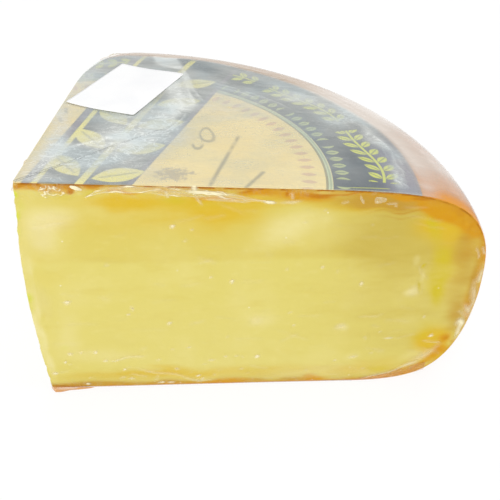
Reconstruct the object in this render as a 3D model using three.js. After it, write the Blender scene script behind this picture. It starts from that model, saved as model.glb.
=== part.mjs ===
// A wedge of a waxed Gouda-type cheese, a little more than a quarter of the wheel,
// wrapped in clear film, with the printed paper label of the wheel and a price sticker on top.
//
// Millimetres, +Z up. The wheel is drawn about its own axis: the front cut lies along X
// and faces -Y, the left cut runs back from it. At the end everything is moved so that the
// origin is the centre of the base of the whole wedge.

import * as THREE from 'three';

// ---- driving dimensions ----------------------------------------------------------------

const WHEEL_RADIUS = 172;
const WHEEL_HEIGHT = 120.7;

// The wheel's side is a superellipse. A high flatness keeps the face level out to the
// shoulder, a high roundness makes the shoulder tighter.
const TOP_FLATNESS = 9.5;
const TOP_ROUNDNESS = 2.64;
const BASE_FLATNESS = 12.4;
const BASE_ROUNDNESS = 1.83;

// The top has sagged a little: it falls towards the right and rises towards the back.
const TOP_SLOPE_X = -0.0386;
const TOP_SLOPE_Y = 0.0117;

// The two cuts meet in a vertical edge that lies a little off the wheel's axis.
const APEX = new THREE.Vector2(-41.9, -16.2);
const CUT_ANGLE = THREE.MathUtils.degToRad(83);
const LEFT_CUT_BULGE = 3.4;       // how far the left cut swells out at mid height
const FRONT_CUT_BULGE = 0.8;
const LEFT_CUT_TAPER = 10;        // how far the far end of the left cut turns inward
const LEFT_CUT_TAPER_START = 0.68;
const BULGE_FADE_LENGTH = 189;    // the bulges fade over this distance from the point
const CUT_WAVE = 0.35;            // unevenness of the cut faces

const APEX_ROUNDING = 1.6;
const FRONT_CORNER_ROUNDING = 1;
const FAR_CORNER_ROUNDING = 13;
const CUT_EDGE_SOFTENING = 0.8;   // the film rounds the edges between cuts and top or base

const LAYER_GAP = 0.35;
const LABEL_RADIUS = 135.4;
const LABEL_THICKNESS = 0.4;
const LABEL_INSET = 1.2;          // the label stops short of the softened cut edges

const STICKER_LENGTH = 58;
const STICKER_WIDTH = 38.5;
const STICKER_THICKNESS = 0.4;
const STICKER_CENTRE = new THREE.Vector2(-0.9, 80.1);
const STICKER_ANGLE = THREE.MathUtils.degToRad(65.7);
const STICKER_CORNER_RADIUS = 1.2;

// ---- the wheel -------------------------------------------------------------------------

const HALF_HEIGHT = WHEEL_HEIGHT / 2;

function topHeight(x, y) {
  const reach = Math.min(Math.hypot(x, y) / WHEEL_RADIUS, 1);
  const fullness = (1 - reach ** TOP_FLATNESS) ** (1 / TOP_ROUNDNESS);
  return HALF_HEIGHT + (HALF_HEIGHT + TOP_SLOPE_X * x + TOP_SLOPE_Y * y) * fullness;
}

// Height on the wheel's side at a share of its height, 0 at the base and 1 at the top.
function sideHeight(share, x, y) {
  const slope = share > 0.5 ? TOP_SLOPE_X * x + TOP_SLOPE_Y * y : 0;
  return HALF_HEIGHT + (HALF_HEIGHT + slope) * (2 * share - 1);
}

// Radius of the wheel's side at the same share.
function sideRadius(share) {
  const offset = Math.abs(2 * share - 1);
  const upper = share > 0.5;
  const roundness = upper ? TOP_ROUNDNESS : BASE_ROUNDNESS;
  const flatness = upper ? TOP_FLATNESS : BASE_FLATNESS;
  return WHEEL_RADIUS * (1 - offset ** roundness) ** (1 / flatness);
}

// ---- the plan of the wedge -------------------------------------------------------------

const LEFT_DIRECTION = new THREE.Vector2(Math.cos(CUT_ANGLE), Math.sin(CUT_ANGLE));
const LEFT_INWARD = new THREE.Vector2(LEFT_DIRECTION.y, -LEFT_DIRECTION.x);

function lengthToCircle(direction, radius) {
  const along = APEX.dot(direction);
  return -along + Math.sqrt(along * along - APEX.lengthSq() + radius * radius);
}

function pointOnLeftCut(distance, fullLength) {
  const share = distance / fullLength;
  const turn = Math.max(share - LEFT_CUT_TAPER_START, 0) / (1 - LEFT_CUT_TAPER_START);
  return APEX.clone()
    .addScaledVector(LEFT_DIRECTION, distance)
    .addScaledVector(LEFT_INWARD, LEFT_CUT_TAPER * turn * turn);
}

// Spaces shares 0..1 more closely towards the end, where the rim curves.
function closeToEnd(share) {
  return Math.sin(share * Math.PI / 2);
}

// A corner rounded by a parabola between two points on its sides.
function roundedCorner(start, corner, end, steps) {
  const curve = new THREE.QuadraticBezierCurve(start, corner, end);
  return curve.getPoints(steps);
}

// One closed outline, anticlockwise from above, where the wedge meets a circle. Each point
// says how much it belongs to the front cut, to the left cut and to the rim.
function planOutline(radius, counts) {
  const frontLength = lengthToCircle(new THREE.Vector2(1, 0), radius);
  const leftLength = lengthToCircle(LEFT_DIRECTION, radius);
  const frontCorner = APEX.clone().add(new THREE.Vector2(frontLength, 0));
  const farCorner = pointOnLeftCut(leftLength, leftLength);
  const frontAngle = Math.atan2(frontCorner.y, frontCorner.x);
  const farAngle = Math.atan2(farCorner.y, farCorner.x);
  const onCircle = (angle) => new THREE.Vector2(radius * Math.cos(angle), radius * Math.sin(angle));
  const points = [];
  const add = (position, front, left) => points.push({ position, front, left });

  for (let i = 0; i < counts.front; i += 1) {
    const share = closeToEnd(i / (counts.front - 1));
    const run = APEX_ROUNDING + (frontLength - APEX_ROUNDING - FRONT_CORNER_ROUNDING) * share;
    add(APEX.clone().add(new THREE.Vector2(run, 0)), 1, 0);
  }
  const rimStart = frontAngle + FRONT_CORNER_ROUNDING / radius;
  const rimEnd = farAngle - FAR_CORNER_ROUNDING / radius;
  const frontTurn = roundedCorner(
    points[points.length - 1].position, frontCorner, onCircle(rimStart), counts.corner);
  for (let i = 1; i < counts.corner; i += 1) {
    add(frontTurn[i], 1 - i / counts.corner, 0);
  }
  for (let i = 0; i < counts.rim; i += 1) {
    add(onCircle(rimStart + (rimEnd - rimStart) * i / (counts.rim - 1)), 0, 0);
  }
  const leftStart = pointOnLeftCut(leftLength - FAR_CORNER_ROUNDING, leftLength);
  const farTurn = roundedCorner(onCircle(rimEnd), farCorner, leftStart, counts.corner);
  for (let i = 1; i < counts.corner; i += 1) {
    add(farTurn[i], 0, i / counts.corner);
  }
  for (let i = 0; i < counts.left; i += 1) {
    const share = closeToEnd(1 - i / (counts.left - 1));
    const run = APEX_ROUNDING + (leftLength - APEX_ROUNDING - FAR_CORNER_ROUNDING) * share;
    add(pointOnLeftCut(run, leftLength), 0, 1);
  }
  const apexTurn = roundedCorner(
    points[points.length - 1].position, APEX, points[0].position, counts.corner);
  for (let i = 1; i < counts.corner; i += 1) {
    add(apexTurn[i], 1, 1);
  }
  return points;
}

// ---- meshes from stacked outlines ------------------------------------------------------

// Joins closed rings of equal length, lowest first, and closes both ends with a fan.
function meshFromRings(rings, lowCentre, highCentre) {
  const count = rings[0].length;
  const positions = rings.flat().concat([lowCentre, highCentre]).flatMap((p) => [p.x, p.y, p.z]);
  const low = rings.length * count;
  const high = low + 1;
  const faces = [];
  for (let i = 0; i < count; i += 1) {
    const next = (i + 1) % count;
    for (let ring = 0; ring < rings.length - 1; ring += 1) {
      const below = ring * count;
      const above = below + count;
      faces.push(below + i, below + next, above + next);
      faces.push(below + i, above + next, above + i);
    }
    faces.push(low, next, i);
    const last = (rings.length - 1) * count;
    faces.push(high, last + i, last + next);
  }
  const geometry = new THREE.BufferGeometry();
  geometry.setAttribute('position', new THREE.Float32BufferAttribute(positions, 3));
  geometry.setIndex(faces);
  geometry.computeVertexNormals();
  return geometry;
}

// Rings that shrink from an outline to a centre; shares are of the way out.
function shrinkingRings(outline, centre, shares, heightAt) {
  return shares.map((share) => outline.map((point) => {
    const x = centre.x + (point.x - centre.x) * share;
    const y = centre.y + (point.y - centre.y) * share;
    return new THREE.Vector3(x, y, heightAt(x, y));
  }));
}

// ---- the wedge -------------------------------------------------------------------------

const WEDGE_COUNTS = { front: 34, rim: 34, left: 24, corner: 4 };
const SIDE_RING_COUNT = 21;
const CAP_SHARES = [0.97, 0.93, 0.87, 0.78, 0.64, 0.46, 0.24];
const REST_SHARES = [0.75, 0.4];
const LOWEST_SHARE = 0.002;       // where the side ends in the flat base
const HIGHEST_SHARE = 0.975;      // where the side ends in the domed top
const SOFTENING_LEVEL = 0.028;    // a ring just inside each edge keeps the softening narrow
const LEFT_WAVE_SHIFT = 60;       // so that the two cuts don't wave alike
const WEDGE_CENTRE = new THREE.Vector2(52, 62);

// Slow unevenness of a cut face, from the wire that made it and the cheese settling.
function cutWave(along, height) {
  const long = Math.sin(along / 31 + 1.3) * Math.cos(height / 23 - 0.4);
  const short = Math.sin(along / 13 - 0.7 + height / 37) * 0.45;
  return CUT_WAVE * (long + short);
}

const HIGHEST_OUTLINE = planOutline(sideRadius(HIGHEST_SHARE), WEDGE_COUNTS);

// One ring of the side. Level runs from 0 at the base edge to 1 at the top edge.
function sideRing(level) {
  const angle = THREE.MathUtils.lerp(
    Math.acos(1 - 2 * LOWEST_SHARE), Math.acos(1 - 2 * HIGHEST_SHARE), level);
  const share = (1 - Math.cos(angle)) / 2;
  const atEdge = level === 0 || level === 1;
  return planOutline(sideRadius(share), WEDGE_COUNTS).map(({ position, front, left }, index) => {
    const { x, y } = position;
    const low = sideHeight(LOWEST_SHARE, x, y);
    const rise = (sideHeight(share, x, y) - low) / (sideHeight(HIGHEST_SHARE, x, y) - low);
    const rim = HIGHEST_OUTLINE[index].position;
    const height = THREE.MathUtils.lerp(low, topHeight(rim.x, rim.y), rise);
    const along = position.distanceTo(APEX);
    const nearRim = Math.min(along / BULGE_FADE_LENGTH, 1);
    const midHeight = Math.sin(Math.PI * rise);
    const frontSwell = FRONT_CUT_BULGE * (1 - nearRim ** 2) + cutWave(along, height);
    const leftSwell = LEFT_CUT_BULGE * (1 - nearRim / 2) + cutWave(along + LEFT_WAVE_SHIFT, height);
    const softening = atEdge ? CUT_EDGE_SOFTENING * (1 - nearRim ** 4) : 0;
    const frontMove = front * (softening - frontSwell * midHeight);
    const leftMove = left * (softening - leftSwell * midHeight);
    return new THREE.Vector3(
      x + leftMove * LEFT_INWARD.x,
      y + leftMove * LEFT_INWARD.y + frontMove,
      height);
  });
}

function makeWedge() {
  const levels = [0, SOFTENING_LEVEL];
  for (let i = 1; i < SIDE_RING_COUNT - 1; i += 1) {
    levels.push(i / (SIDE_RING_COUNT - 1));
  }
  levels.push(1 - SOFTENING_LEVEL, 1);
  const side = levels.map(sideRing);
  const baseHeight = side[0][0].z;
  const bottom = shrinkingRings(side[0], WEDGE_CENTRE, REST_SHARES, () => baseHeight).reverse();
  const top = shrinkingRings(side[side.length - 1], WEDGE_CENTRE, CAP_SHARES, topHeight);
  const lowCentre = new THREE.Vector3(WEDGE_CENTRE.x, WEDGE_CENTRE.y, baseHeight);
  const highCentre = new THREE.Vector3(
    WEDGE_CENTRE.x, WEDGE_CENTRE.y, topHeight(WEDGE_CENTRE.x, WEDGE_CENTRE.y));
  return meshFromRings([...bottom, ...side, ...top], lowCentre, highCentre);
}

// ---- thin sheets lying on the top ------------------------------------------------------

function makeSheet(outline, centre, lift, thickness, shares) {
  const under = (x, y) => topHeight(x, y) + lift;
  const over = (x, y) => under(x, y) + thickness;
  const lower = shrinkingRings(outline, centre, shares, under).reverse();
  const upper = shrinkingRings(outline, centre, shares, over);
  const lowCentre = new THREE.Vector3(centre.x, centre.y, under(centre.x, centre.y));
  const highCentre = new THREE.Vector3(centre.x, centre.y, over(centre.x, centre.y));
  return meshFromRings([...lower, ...upper], lowCentre, highCentre);
}

const LABEL_COUNTS = { front: 16, rim: 22, left: 14, corner: 3 };
const LABEL_SHARES = [1, 0.95, 0.87, 0.74, 0.5];
const STICKER_SHARES = [1, 0.66, 0.33];
const STICKER_EDGE_STEPS = 5;

function makeLabel() {
  const outline = planOutline(LABEL_RADIUS, LABEL_COUNTS).map(({ position, front, left }) => position
    .clone()
    .add(new THREE.Vector2(0, LABEL_INSET * front))
    .addScaledVector(LEFT_INWARD, LABEL_INSET * left));
  return makeSheet(outline, WEDGE_CENTRE, LAYER_GAP, LABEL_THICKNESS, LABEL_SHARES);
}

function makeSticker() {
  const halfLength = STICKER_LENGTH / 2;
  const halfWidth = STICKER_WIDTH / 2;
  const corners = [[1, 1], [-1, 1], [-1, -1], [1, -1]];
  const flat = [];
  corners.forEach(([alongSign, acrossSign], index) => {
    const corner = new THREE.Vector2(alongSign * halfLength, acrossSign * halfWidth);
    const following = corners[(index + 1) % corners.length];
    const next = new THREE.Vector2(following[0] * halfLength, following[1] * halfWidth);
    const direction = next.clone().sub(corner).normalize();
    const start = corner.clone().addScaledVector(direction, STICKER_CORNER_RADIUS);
    const end = next.clone().addScaledVector(direction, -STICKER_CORNER_RADIUS);
    for (let i = 0; i <= STICKER_EDGE_STEPS; i += 1) {
      flat.push(start.clone().lerp(end, i / STICKER_EDGE_STEPS));
    }
  });
  const origin = new THREE.Vector2(0, 0);
  const outline = flat.map((p) => p.rotateAround(origin, STICKER_ANGLE).add(STICKER_CENTRE));
  const lift = LAYER_GAP + LABEL_THICKNESS + LAYER_GAP;
  return makeSheet(outline, STICKER_CENTRE, lift, STICKER_THICKNESS, STICKER_SHARES);
}

// ---- assembly --------------------------------------------------------------------------

const group = new THREE.Group();

function addPiece(name, geometry, material) {
  const mesh = new THREE.Mesh(geometry, new THREE.MeshStandardMaterial(material));
  mesh.name = name;
  group.add(mesh);
}

addPiece('cheese_wedge', makeWedge(), { color: 0xe3cf72, roughness: 0.35, metalness: 0 });
addPiece('top_label', makeLabel(), { color: 0xb9bdb8, roughness: 0.6, metalness: 0 });
addPiece('price_sticker', makeSticker(), { color: 0xffffff, roughness: 0.5, metalness: 0 });

// The origin goes to the centre of the base.
const bounds = new THREE.Box3().setFromObject(group);
const centre = bounds.getCenter(new THREE.Vector3());
group.position.set(-centre.x, -centre.y, -bounds.min.z);

export default group;
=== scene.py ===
"""The looks of a film-wrapped cheese wedge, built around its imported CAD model.

Lengths are millimetres in the wheel's own frame: the wheel's axis is the origin, the front cut
runs along X and faces -Y. place() turns them into metres in the frame that the CAD model has.
"""

import math

import bpy
import numpy as np
from mathutils import Matrix, Vector


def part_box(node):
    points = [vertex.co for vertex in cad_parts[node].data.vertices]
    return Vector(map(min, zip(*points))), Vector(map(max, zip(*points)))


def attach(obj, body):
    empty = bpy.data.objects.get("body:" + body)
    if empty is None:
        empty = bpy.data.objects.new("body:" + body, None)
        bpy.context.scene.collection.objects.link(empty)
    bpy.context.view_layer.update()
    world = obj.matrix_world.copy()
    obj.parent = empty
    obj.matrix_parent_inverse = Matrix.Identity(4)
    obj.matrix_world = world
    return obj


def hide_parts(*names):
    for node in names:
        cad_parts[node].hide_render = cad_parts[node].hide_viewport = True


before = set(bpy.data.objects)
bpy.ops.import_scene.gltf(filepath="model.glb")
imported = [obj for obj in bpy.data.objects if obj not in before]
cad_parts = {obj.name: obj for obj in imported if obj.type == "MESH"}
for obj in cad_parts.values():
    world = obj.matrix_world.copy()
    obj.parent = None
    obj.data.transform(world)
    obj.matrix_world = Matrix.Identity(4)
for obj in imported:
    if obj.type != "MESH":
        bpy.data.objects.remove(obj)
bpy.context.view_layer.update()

MM = 0.001

# ---- driving dimensions, as in the CAD source ------------------------------------------

WHEEL_RADIUS = 172.0
WHEEL_HEIGHT = 120.7
TOP_FLATNESS = 9.5
TOP_ROUNDNESS = 2.64
BASE_FLATNESS = 12.4
BASE_ROUNDNESS = 1.83
TOP_SLOPE_X = -0.0386
TOP_SLOPE_Y = 0.0117

APEX = np.array([-41.9, -16.2])
CUT_ANGLE = math.radians(83)
LEFT_CUT_BULGE = 3.4
FRONT_CUT_BULGE = 0.8
LEFT_CUT_TAPER = 10.0
LEFT_CUT_TAPER_START = 0.68
BULGE_FADE_LENGTH = 189.0
CUT_WAVE = 0.35
LEFT_WAVE_SHIFT = 60.0
APEX_ROUNDING = 1.6
FRONT_CORNER_ROUNDING = 1.0
FAR_CORNER_ROUNDING = 13.0
CUT_EDGE_SOFTENING = 0.8
SOFTENING_LEVEL = 0.028
LOWEST_SHARE = 0.002
HIGHEST_SHARE = 0.975
WEDGE_CENTRE = np.array([52.0, 62.0])

LAYER_GAP = 0.35
LABEL_RADIUS = 135.4
STICKER_LENGTH = 58.0
STICKER_WIDTH = 38.5
STICKER_CENTRE = np.array([-0.9, 80.1])
STICKER_ANGLE = math.radians(65.7)
STICKER_CORNER_RADIUS = 1.2

# Real paper is thinner than the CAD's sheets, and the label reaches nearer to the cuts.
LABEL_THICKNESS = 0.2
LABEL_INSET = 0.55
STICKER_THICKNESS = 0.2

HALF_HEIGHT = WHEEL_HEIGHT / 2
FRONT_DIRECTION = np.array([1.0, 0.0])
FRONT_INWARD = np.array([0.0, 1.0])
LEFT_DIRECTION = np.array([math.cos(CUT_ANGLE), math.sin(CUT_ANGLE)])
LEFT_INWARD = np.array([LEFT_DIRECTION[1], -LEFT_DIRECTION[0]])

# The wheel's axis and base in the frame: the rim touches the box on its right and at the back.
WEDGE_LOW, WEDGE_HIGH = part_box("cheese_wedge")
AXIS_SPOT = np.array([
    WEDGE_HIGH.x / MM - WHEEL_RADIUS,
    WEDGE_HIGH.y / MM - WHEEL_RADIUS,
    WEDGE_LOW.z / MM - WHEEL_HEIGHT * LOWEST_SHARE])


def place(points):
    """Points of the wheel's frame, in millimetres, as metres in the shared frame."""
    return (np.asarray(points, float) + AXIS_SPOT) * MM


# ---- the wheel's form ------------------------------------------------------------------

FRONT_CROWDING = 0.25     # how much closer the front cut's columns get towards the rim
EDGE_CROWDING = 1.5       # how fast rings close up towards the rounded edges
BASE_SHARES = [0.15, 0.4, 0.65, 0.85, 0.96]


def top_height(x, y):
    reach = np.minimum(np.hypot(x, y) / WHEEL_RADIUS, 1)
    fullness = (1 - reach ** TOP_FLATNESS) ** (1 / TOP_ROUNDNESS)
    return HALF_HEIGHT + (HALF_HEIGHT + TOP_SLOPE_X * x + TOP_SLOPE_Y * y) * fullness


def side_height(share, x, y):
    slope = TOP_SLOPE_X * x + TOP_SLOPE_Y * y if share > 0.5 else 0
    return HALF_HEIGHT + (HALF_HEIGHT + slope) * (2 * share - 1)


def side_radius(share):
    offset = abs(2 * share - 1)
    roundness = TOP_ROUNDNESS if share > 0.5 else BASE_ROUNDNESS
    flatness = TOP_FLATNESS if share > 0.5 else BASE_FLATNESS
    return WHEEL_RADIUS * (1 - offset ** roundness) ** (1 / flatness)


def from_point(x, y):
    """Distance from the wedge's upright point, which is the place along either cut."""
    return np.hypot(x - APEX[0], y - APEX[1])


def rim_arc(x, y):
    """Place along the rim, from the wheel's X axis."""
    return np.arctan2(y, x) * WHEEL_RADIUS


def length_to_circle(direction, radius):
    along = APEX @ direction
    return -along + math.sqrt(along * along - APEX @ APEX + radius * radius)


def points_on_left_cut(distance, full_length):
    share = distance / full_length
    turn = np.maximum(share - LEFT_CUT_TAPER_START, 0) / (1 - LEFT_CUT_TAPER_START)
    return (APEX + np.outer(distance, LEFT_DIRECTION)
            + np.outer(LEFT_CUT_TAPER * turn * turn, LEFT_INWARD))


def rounded_corner(start, corner, end, steps):
    """The inner points of a parabola between two points on a corner's sides."""
    t = np.arange(1, steps)[:, None] / steps
    return (1 - t) ** 2 * start + 2 * t * (1 - t) * corner + t ** 2 * end


def plan_outline(radius, counts):
    """A closed outline, anticlockwise from above, where the wedge meets a circle.

    Gives positions and how much each belongs to the front cut and to the left cut.
    """
    front_length = length_to_circle(FRONT_DIRECTION, radius)
    left_length = length_to_circle(LEFT_DIRECTION, radius)
    front_corner = APEX + FRONT_DIRECTION * front_length
    far_corner = points_on_left_cut(np.array([left_length]), left_length)[0]
    rim_start = math.atan2(front_corner[1], front_corner[0]) + FRONT_CORNER_ROUNDING / radius
    rim_end = math.atan2(far_corner[1], far_corner[0]) - FAR_CORNER_ROUNDING / radius

    share = np.linspace(0, 1, counts["front"])
    share = share * (1 + FRONT_CROWDING - FRONT_CROWDING * share)
    run = APEX_ROUNDING + (front_length - APEX_ROUNDING - FRONT_CORNER_ROUNDING) * share
    front = APEX + np.outer(run, FRONT_DIRECTION)
    angle = np.linspace(rim_start, rim_end, counts["rim"])
    rim = radius * np.stack([np.cos(angle), np.sin(angle)], 1)
    share = np.linspace(1, 0, counts["left"])
    run = APEX_ROUNDING + (left_length - APEX_ROUNDING - FAR_CORNER_ROUNDING) * share
    left = points_on_left_cut(run, left_length)

    steps = counts["corner"]
    fade = np.arange(1, steps) / steps
    parts = [
        (front, 1.0, 0.0),
        (rounded_corner(front[-1], front_corner, rim[0], steps), 1 - fade, 0.0),
        (rim, 0.0, 0.0),
        (rounded_corner(rim[-1], far_corner, left[0], steps), 0.0, fade),
        (left, 0.0, 1.0),
        (rounded_corner(left[-1], APEX, front[0], steps), 1.0, 1.0)]
    position = np.concatenate([part[0] for part in parts])
    front_share = np.concatenate([np.broadcast_to(part[1], len(part[0])) for part in parts])
    left_share = np.concatenate([np.broadcast_to(part[2], len(part[0])) for part in parts])
    return position, front_share, left_share


def cut_wave(along, height):
    """Slow unevenness of a cut face, from the wire that made it and the cheese settling."""
    long = np.sin(along / 31 + 1.3) * np.cos(height / 23 - 0.4)
    short = np.sin(along / 13 - 0.7 + height / 37) * 0.45
    return CUT_WAVE * (long + short)


def side_ring(level, counts, inset, top_lift, base_lift):
    """One ring of the side, inset from the CAD solid. Level runs from 0 at the base to 1."""
    angle = np.interp(level, [0, 1], [
        math.acos(1 - 2 * LOWEST_SHARE), math.acos(1 - 2 * HIGHEST_SHARE)])
    share = (1 - math.cos(angle)) / 2
    position, front, left = plan_outline(side_radius(share) - inset, counts)
    highest = plan_outline(side_radius(HIGHEST_SHARE) - inset, counts)[0]
    x, y = position.T
    low = side_height(LOWEST_SHARE, x, y)
    rise = (side_height(share, x, y) - low) / (side_height(HIGHEST_SHARE, x, y) - low)
    high = top_height(*highest.T) + top_lift
    height = low + base_lift + (high - low - base_lift) * rise
    along = from_point(x, y)
    near_rim = np.minimum(along / BULGE_FADE_LENGTH, 1)
    mid_height = np.sin(np.pi * rise)
    front_swell = FRONT_CUT_BULGE * (1 - near_rim ** 2) + cut_wave(along, height)
    left_swell = LEFT_CUT_BULGE * (1 - near_rim / 2) + cut_wave(along + LEFT_WAVE_SHIFT, height)
    from_edge = min(level, 1 - level) / SOFTENING_LEVEL
    roundness = 1 - math.sqrt(1 - (1 - from_edge) ** 2) if from_edge < 1 else 0
    softening = CUT_EDGE_SOFTENING * roundness * (1 - near_rim ** 4) + inset
    moved = (position
             + np.outer(front * (softening - front_swell * mid_height), FRONT_INWARD)
             + np.outer(left * (softening - left_swell * mid_height), LEFT_INWARD))
    return np.column_stack([moved, height])


def side_levels(count, edge_count):
    """Ring levels, closer together where the edges are rounded."""
    edge = SOFTENING_LEVEL * (np.arange(edge_count) / edge_count) ** EDGE_CROWDING
    middle = np.linspace(SOFTENING_LEVEL, 1 - SOFTENING_LEVEL, count - 2 * edge_count)
    return np.concatenate([edge, middle, 1 - edge[::-1]])


def wedge_shell(counts, levels, inset, top_lift, base_lift):
    """The side of the wedge as a grid of rings, with each column's share of the two cuts."""
    grid = np.array([side_ring(level, counts, inset, top_lift, base_lift) for level in levels])
    return grid, *plan_outline(WHEEL_RADIUS, counts)[1:]


def shrunk_rings(outline, shares, lift):
    """Rings on the wheel's top that shrink from an outline to the wedge's centre."""
    rings = []
    for share in shares:
        flat = WEDGE_CENTRE + (outline[:, :2] - WEDGE_CENTRE) * share
        rings.append(np.column_stack([flat, top_height(*flat.T) + lift]))
    return np.array(rings)


def base_rings(lowest):
    """Rings of the flat base, from its centre out towards the side's lowest ring."""
    flat = lowest[:, :2] - WEDGE_CENTRE
    return np.array([
        np.column_stack([WEDGE_CENTRE + flat * share, lowest[:, 2]]) for share in BASE_SHARES])


# ---- shared shape helpers --------------------------------------------------------------

NOISE_CELLS = 64          # after as many cells the noise repeats


def soft_noise(u, v, cell, seed):
    """Smooth noise from -1 to 1, with features about as long and high as the cell."""
    lattice = np.random.default_rng(seed).uniform(-1, 1, (NOISE_CELLS, NOISE_CELLS))
    u, v = u / cell[0], v / cell[1]
    column, row = np.floor(u).astype(int), np.floor(v).astype(int)
    part_u, part_v = (part * part * (3 - 2 * part) for part in (u - column, v - row))

    def corner(du, dv):
        return lattice[(column + du) % NOISE_CELLS, (row + dv) % NOISE_CELLS]

    low = corner(0, 0) * (1 - part_u) + corner(1, 0) * part_u
    high = corner(0, 1) * (1 - part_u) + corner(1, 1) * part_u
    return low * (1 - part_v) + high * part_v


def rough_noise(u, v, cell, seed, octaves=3):
    """Soft noise with finer and fainter noise over it, from about -1 to 1."""
    finer = (soft_noise(u, v, np.array(cell) / 2 ** n, seed + n) / 2 ** n
             for n in range(octaves))
    return sum(finer) / 1.4


def smooth_step(value, low, high):
    t = np.clip((value - low) / (high - low), 0, 1)
    return t * t * (3 - 2 * t)


def stepped(value, start, *steps):
    """An amount that starts at one value and takes smooth steps, given as low, high, height."""
    return start + sum(height * smooth_step(value, low, high) for low, high, height in steps)


def warped(u, v, reach, cell, seed):
    """The same places pushed about by smooth noise, which gives patches uneven edges."""
    return (u + reach * soft_noise(u, v, (cell, cell), seed),
            v + reach * soft_noise(u, v, (cell, cell), seed + 1))


def blob(u, v, centre, radii, angle=0.0):
    """A round patch, 1 at its centre and soft at its edge."""
    du, dv = u - centre[0], v - centre[1]
    along = du * math.cos(angle) + dv * math.sin(angle)
    across = dv * math.cos(angle) - du * math.sin(angle)
    return np.exp(-((along / radii[0]) ** 2 + (across / radii[1]) ** 2) ** 1.4)


def spots_together(u, v, spots):
    """Blobs added up. A spot is its centre, two radii, its strength and, if it leans, its tilt."""
    return sum(blob(u, v, (centre_u, centre_v), (length, height), *tilt) * strength
               for centre_u, centre_v, length, height, strength, *tilt in spots)


def patches(u, v, spots):
    return np.clip(spots_together(u, v, spots), -1, 1)


def crease(u, v, line, width):
    """A crease along a line of points: 1 along its crest, fading sideways and at its ends."""
    line = np.array(line, float)
    runs = np.diff(line, axis=0)
    lengths = np.hypot(*runs.T)
    passed = np.concatenate([[0], np.cumsum(lengths)])
    nearest = np.full(u.shape, np.inf)
    place_on_line = np.zeros(u.shape)
    for start, run, length, before in zip(line, runs, lengths, passed):
        du, dv = u - start[0], v - start[1]
        t = np.clip((du * run[0] + dv * run[1]) / length ** 2, 0, 1)
        away = np.hypot(du - t * run[0], dv - t * run[1])
        place_here = (before + t * length) / passed[-1]
        place_on_line = np.where(away < nearest, place_here, place_on_line)
        nearest = np.minimum(nearest, away)
    ends = np.clip(np.minimum(place_on_line, 1 - place_on_line) * 5, 0, 1)
    return np.exp(-(nearest / width) ** 2) * ends


def add_object(name, data):
    made = bpy.data.objects.new(name, data)
    bpy.context.scene.collection.objects.link(made)
    return made


def smooth_mesh(name, points, faces):
    """A mesh object from points in metres and faces of three or four corners."""
    mesh = bpy.data.meshes.new(name)
    mesh.from_pydata(points.tolist(), [], faces)
    mesh.polygons.foreach_set("use_smooth", [True] * len(mesh.polygons))
    mesh.update()
    return add_object(name, mesh)


def ring_faces(ring_count, column_count):
    """Quads between neighbouring rings, facing outward for rings that go up anticlockwise."""
    column = np.arange(column_count)
    following = (column + 1) % column_count
    faces = []
    for ring in range(ring_count - 1):
        below = ring * column_count
        above = below + column_count
        faces.append(np.stack([below + column, below + following,
                               above + following, above + column], 1))
    return np.concatenate(faces).tolist()


def fan_faces(ring_start, column_count, centre, upward):
    """Triangles that close a ring at a centre point."""
    column = np.arange(column_count)
    following = (column + 1) % column_count
    ends = (column, following) if upward else (following, column)
    return np.stack([ring_start + ends[0], ring_start + ends[1],
                     np.full(column_count, centre)], 1).tolist()


def grid_quads(rows, columns):
    """Quads of a grid of points that is numbered row by row."""
    index = np.arange(rows * columns).reshape(rows, columns)
    quads = np.stack([index[:-1, :-1], index[:-1, 1:], index[1:, 1:], index[1:, :-1]], 2)
    return quads.reshape(-1, 4)


def shell_object(name, rings, low_centre=None, high_centre=None):
    """An object from closed rings, closed off at each end that is given a centre point."""
    ring_count, column_count, _ = rings.shape
    points = rings.reshape(-1, 3)
    faces = ring_faces(ring_count, column_count)
    last_ring = (ring_count - 1) * column_count
    for centre, ring_start, upward in ((low_centre, 0, False), (high_centre, last_ring, True)):
        if centre is not None:
            faces += fan_faces(ring_start, column_count, len(points), upward)
            points = np.vstack([points, centre])
    return smooth_mesh(name, place(points), faces)


def slab(name, lower, upper):
    """A thin closed body between two grids of points; the upper one faces outward."""
    rows, columns, _ = lower.shape
    count = rows * columns
    points = np.concatenate([lower.reshape(-1, 3), upper.reshape(-1, 3)])
    quads = grid_quads(rows, columns)
    index = np.arange(count).reshape(rows, columns)
    edge = np.concatenate([index[0, :-1], index[:-1, -1], index[-1, :0:-1], index[:0:-1, 0]])
    following = np.roll(edge, -1)
    rim = np.stack([edge, following, following + count, edge + count], 1)
    faces = quads[:, ::-1].tolist() + (quads + count).tolist() + rim.tolist()
    made = smooth_mesh(name, place(points), faces)
    made.data.polygons.foreach_set(
        "use_smooth", [True] * (2 * len(quads)) + [False] * len(rim))
    return made


def grid_normals(grid):
    """Unit normals of a grid of closed rings, facing outward if they go up anticlockwise."""
    around = np.roll(grid, -1, 1) - np.roll(grid, 1, 1)
    normal = np.cross(around, np.gradient(grid, axis=0))
    return normal / np.maximum(np.linalg.norm(normal, axis=2, keepdims=True), 1e-9)


def set_attribute(made, name, values):
    """A number for each vertex, which the materials read by its name."""
    attribute = made.data.attributes.new(name, "FLOAT", "POINT")
    attribute.data.foreach_set("value", np.asarray(values, np.float32).ravel())


def finish_piece(made, material, replaced=None):
    made.data.materials.append(material)
    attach(made, "root")
    if replaced:
        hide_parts(replaced)


# ---- shader helpers --------------------------------------------------------------------

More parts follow.
